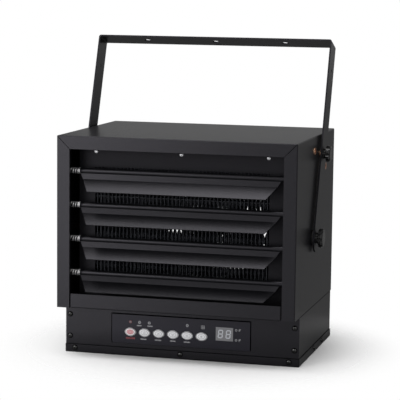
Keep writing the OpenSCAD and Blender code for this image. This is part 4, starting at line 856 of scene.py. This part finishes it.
# painted shade: black strips where the gaps above the tray's rim and below the hood's edge lie in shade
for (low, high), (z, shadow_h) in gap_shadow_lines:
    middle = ((low[0] + high[0]) / 2, (low[1] + high[1]) / 2, z)
    size = (high[0] - low[0], high[1] - low[1], shadow_h, 1)
    bmesh.ops.create_cube(gap_shadows, size=1, matrix=Matrix.Translation(middle) @ Matrix.Diagonal(size))

# %% Painted shadows round the front screws
screw_shadow_reach, screw_shadow_width = 0.9 * mm, 1.0 * mm
for node in (n for n in nodes if n.endswith("_screws") and slots[n] != "bright_steel"):
    for seat, facing, wide, _ in screw_places(node):
        if facing.y < -0.5:
            # painted shadow: a black ring round each front screw head, where its rim stands clear of the coat
            screw_shadow_r = wide / 2 + screw_shadow_reach
            ring(gap_shadows, seat.x, seat.z, screw_shadow_r, screw_shadow_r, screw_shadow_width, flat_at(seat.y))
printed("seams", gap_shadows, painted_shadow_black, "casing")

# %% [markdown]
# ## Buttons
# The buttons have domed caps, so their print follows the dome: each plate's height is that of a sphere over
# the button's middle. Every button has a band of painted shade along its rounded edge and a fine printed
# ring. The first has a rose oval and a switch symbol in red, the others have a plain grey symbol each.

# %% The cap's dome and its symbols
def cap_height(centre_x, centre_z, front_y, dome=40 * mm):
    return lambda x, z: front_y + dome - math.sqrt(dome * dome - (x - centre_x) ** 2 - (z - centre_z) ** 2)

def symbol(k, ink, x, z, height):
    """The symbol of button k, drawn round x and z on a cap of that height."""
    def over_rose(u, v):
        return height(u, v) - 0.1 * mm
    if k == 1:
        ring(ink, x, z, 2.2 * mm, 2.2 * mm, 0.7 * mm, over_rose, 130, 410)
        bar(ink, x, z + 1.6 * mm, 0.7 * mm, 2.0 * mm, over_rose)
    elif k == 2:
        ring(ink, x, z, 2.0 * mm, 2.0 * mm, 0.45 * mm, height)
        bar(ink, x, z + 0.5 * mm, 0.4 * mm, 1.2 * mm, height)
        bar(ink, x + 0.5 * mm, z, 1.2 * mm, 0.4 * mm, height)
    elif k in (3, 4):
        s = 1 if k == 3 else -1
        half, low, tip = 2.1 * mm, s * 1.2 * mm, s * 1.5 * mm
        plate(ink, [(x - half, z - low), (x + half, z - low), (x, z + tip)][::s], height)
    elif k == 5:
        for lift in (-1, 0, 1):
            bar(ink, x, z + lift * 1.1 * mm, 3.8 * mm, 0.45 * mm, height)
    else:
        for lean in (15, 75, 135):
            bar(ink, x, z, 3.8 * mm, 0.45 * mm, height, math.radians(lean))

# %% Print on the buttons
edge_inset = 0.3 * mm
for k in range(1, 7):
    body = f"button_{k}"
    low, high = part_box(body)
    x, z = (low[0] + high[0]) / 2, (low[2] + high[2]) / 2
    height = cap_height(x, z, low[1])
    edge, ink = bmesh.new(), bmesh.new()
    edge_rx, edge_rz = (high[0] - low[0]) / 2 - edge_inset, (high[2] - low[2]) / 2 - edge_inset
    # painted shade: a darker band along the cap's rounded edge
    ring(edge, x, z, edge_rx, edge_rz, 0.8 * mm, height, sides=48)
    printed(f"{body}_edge", edge, ink_edge, body)
    if k == 1:
        rose = bmesh.new()
        ring(rose, x, z, 4.9 * mm, 3.0 * mm, 2.6 * mm, height, sides=40)
        printed("button_1_rose", rose, ink_rose, body)
    ring(ink, x, z, 5.6 * mm, 3.7 * mm, 0.6 * mm, height, sides=40)
    symbol(k, ink, x, z, height)
    coat, slot = (ink_button_red, "button_red") if k == 1 else (ink_button, "button_grey")
    printed(f"{body}_print", ink, coat, body)
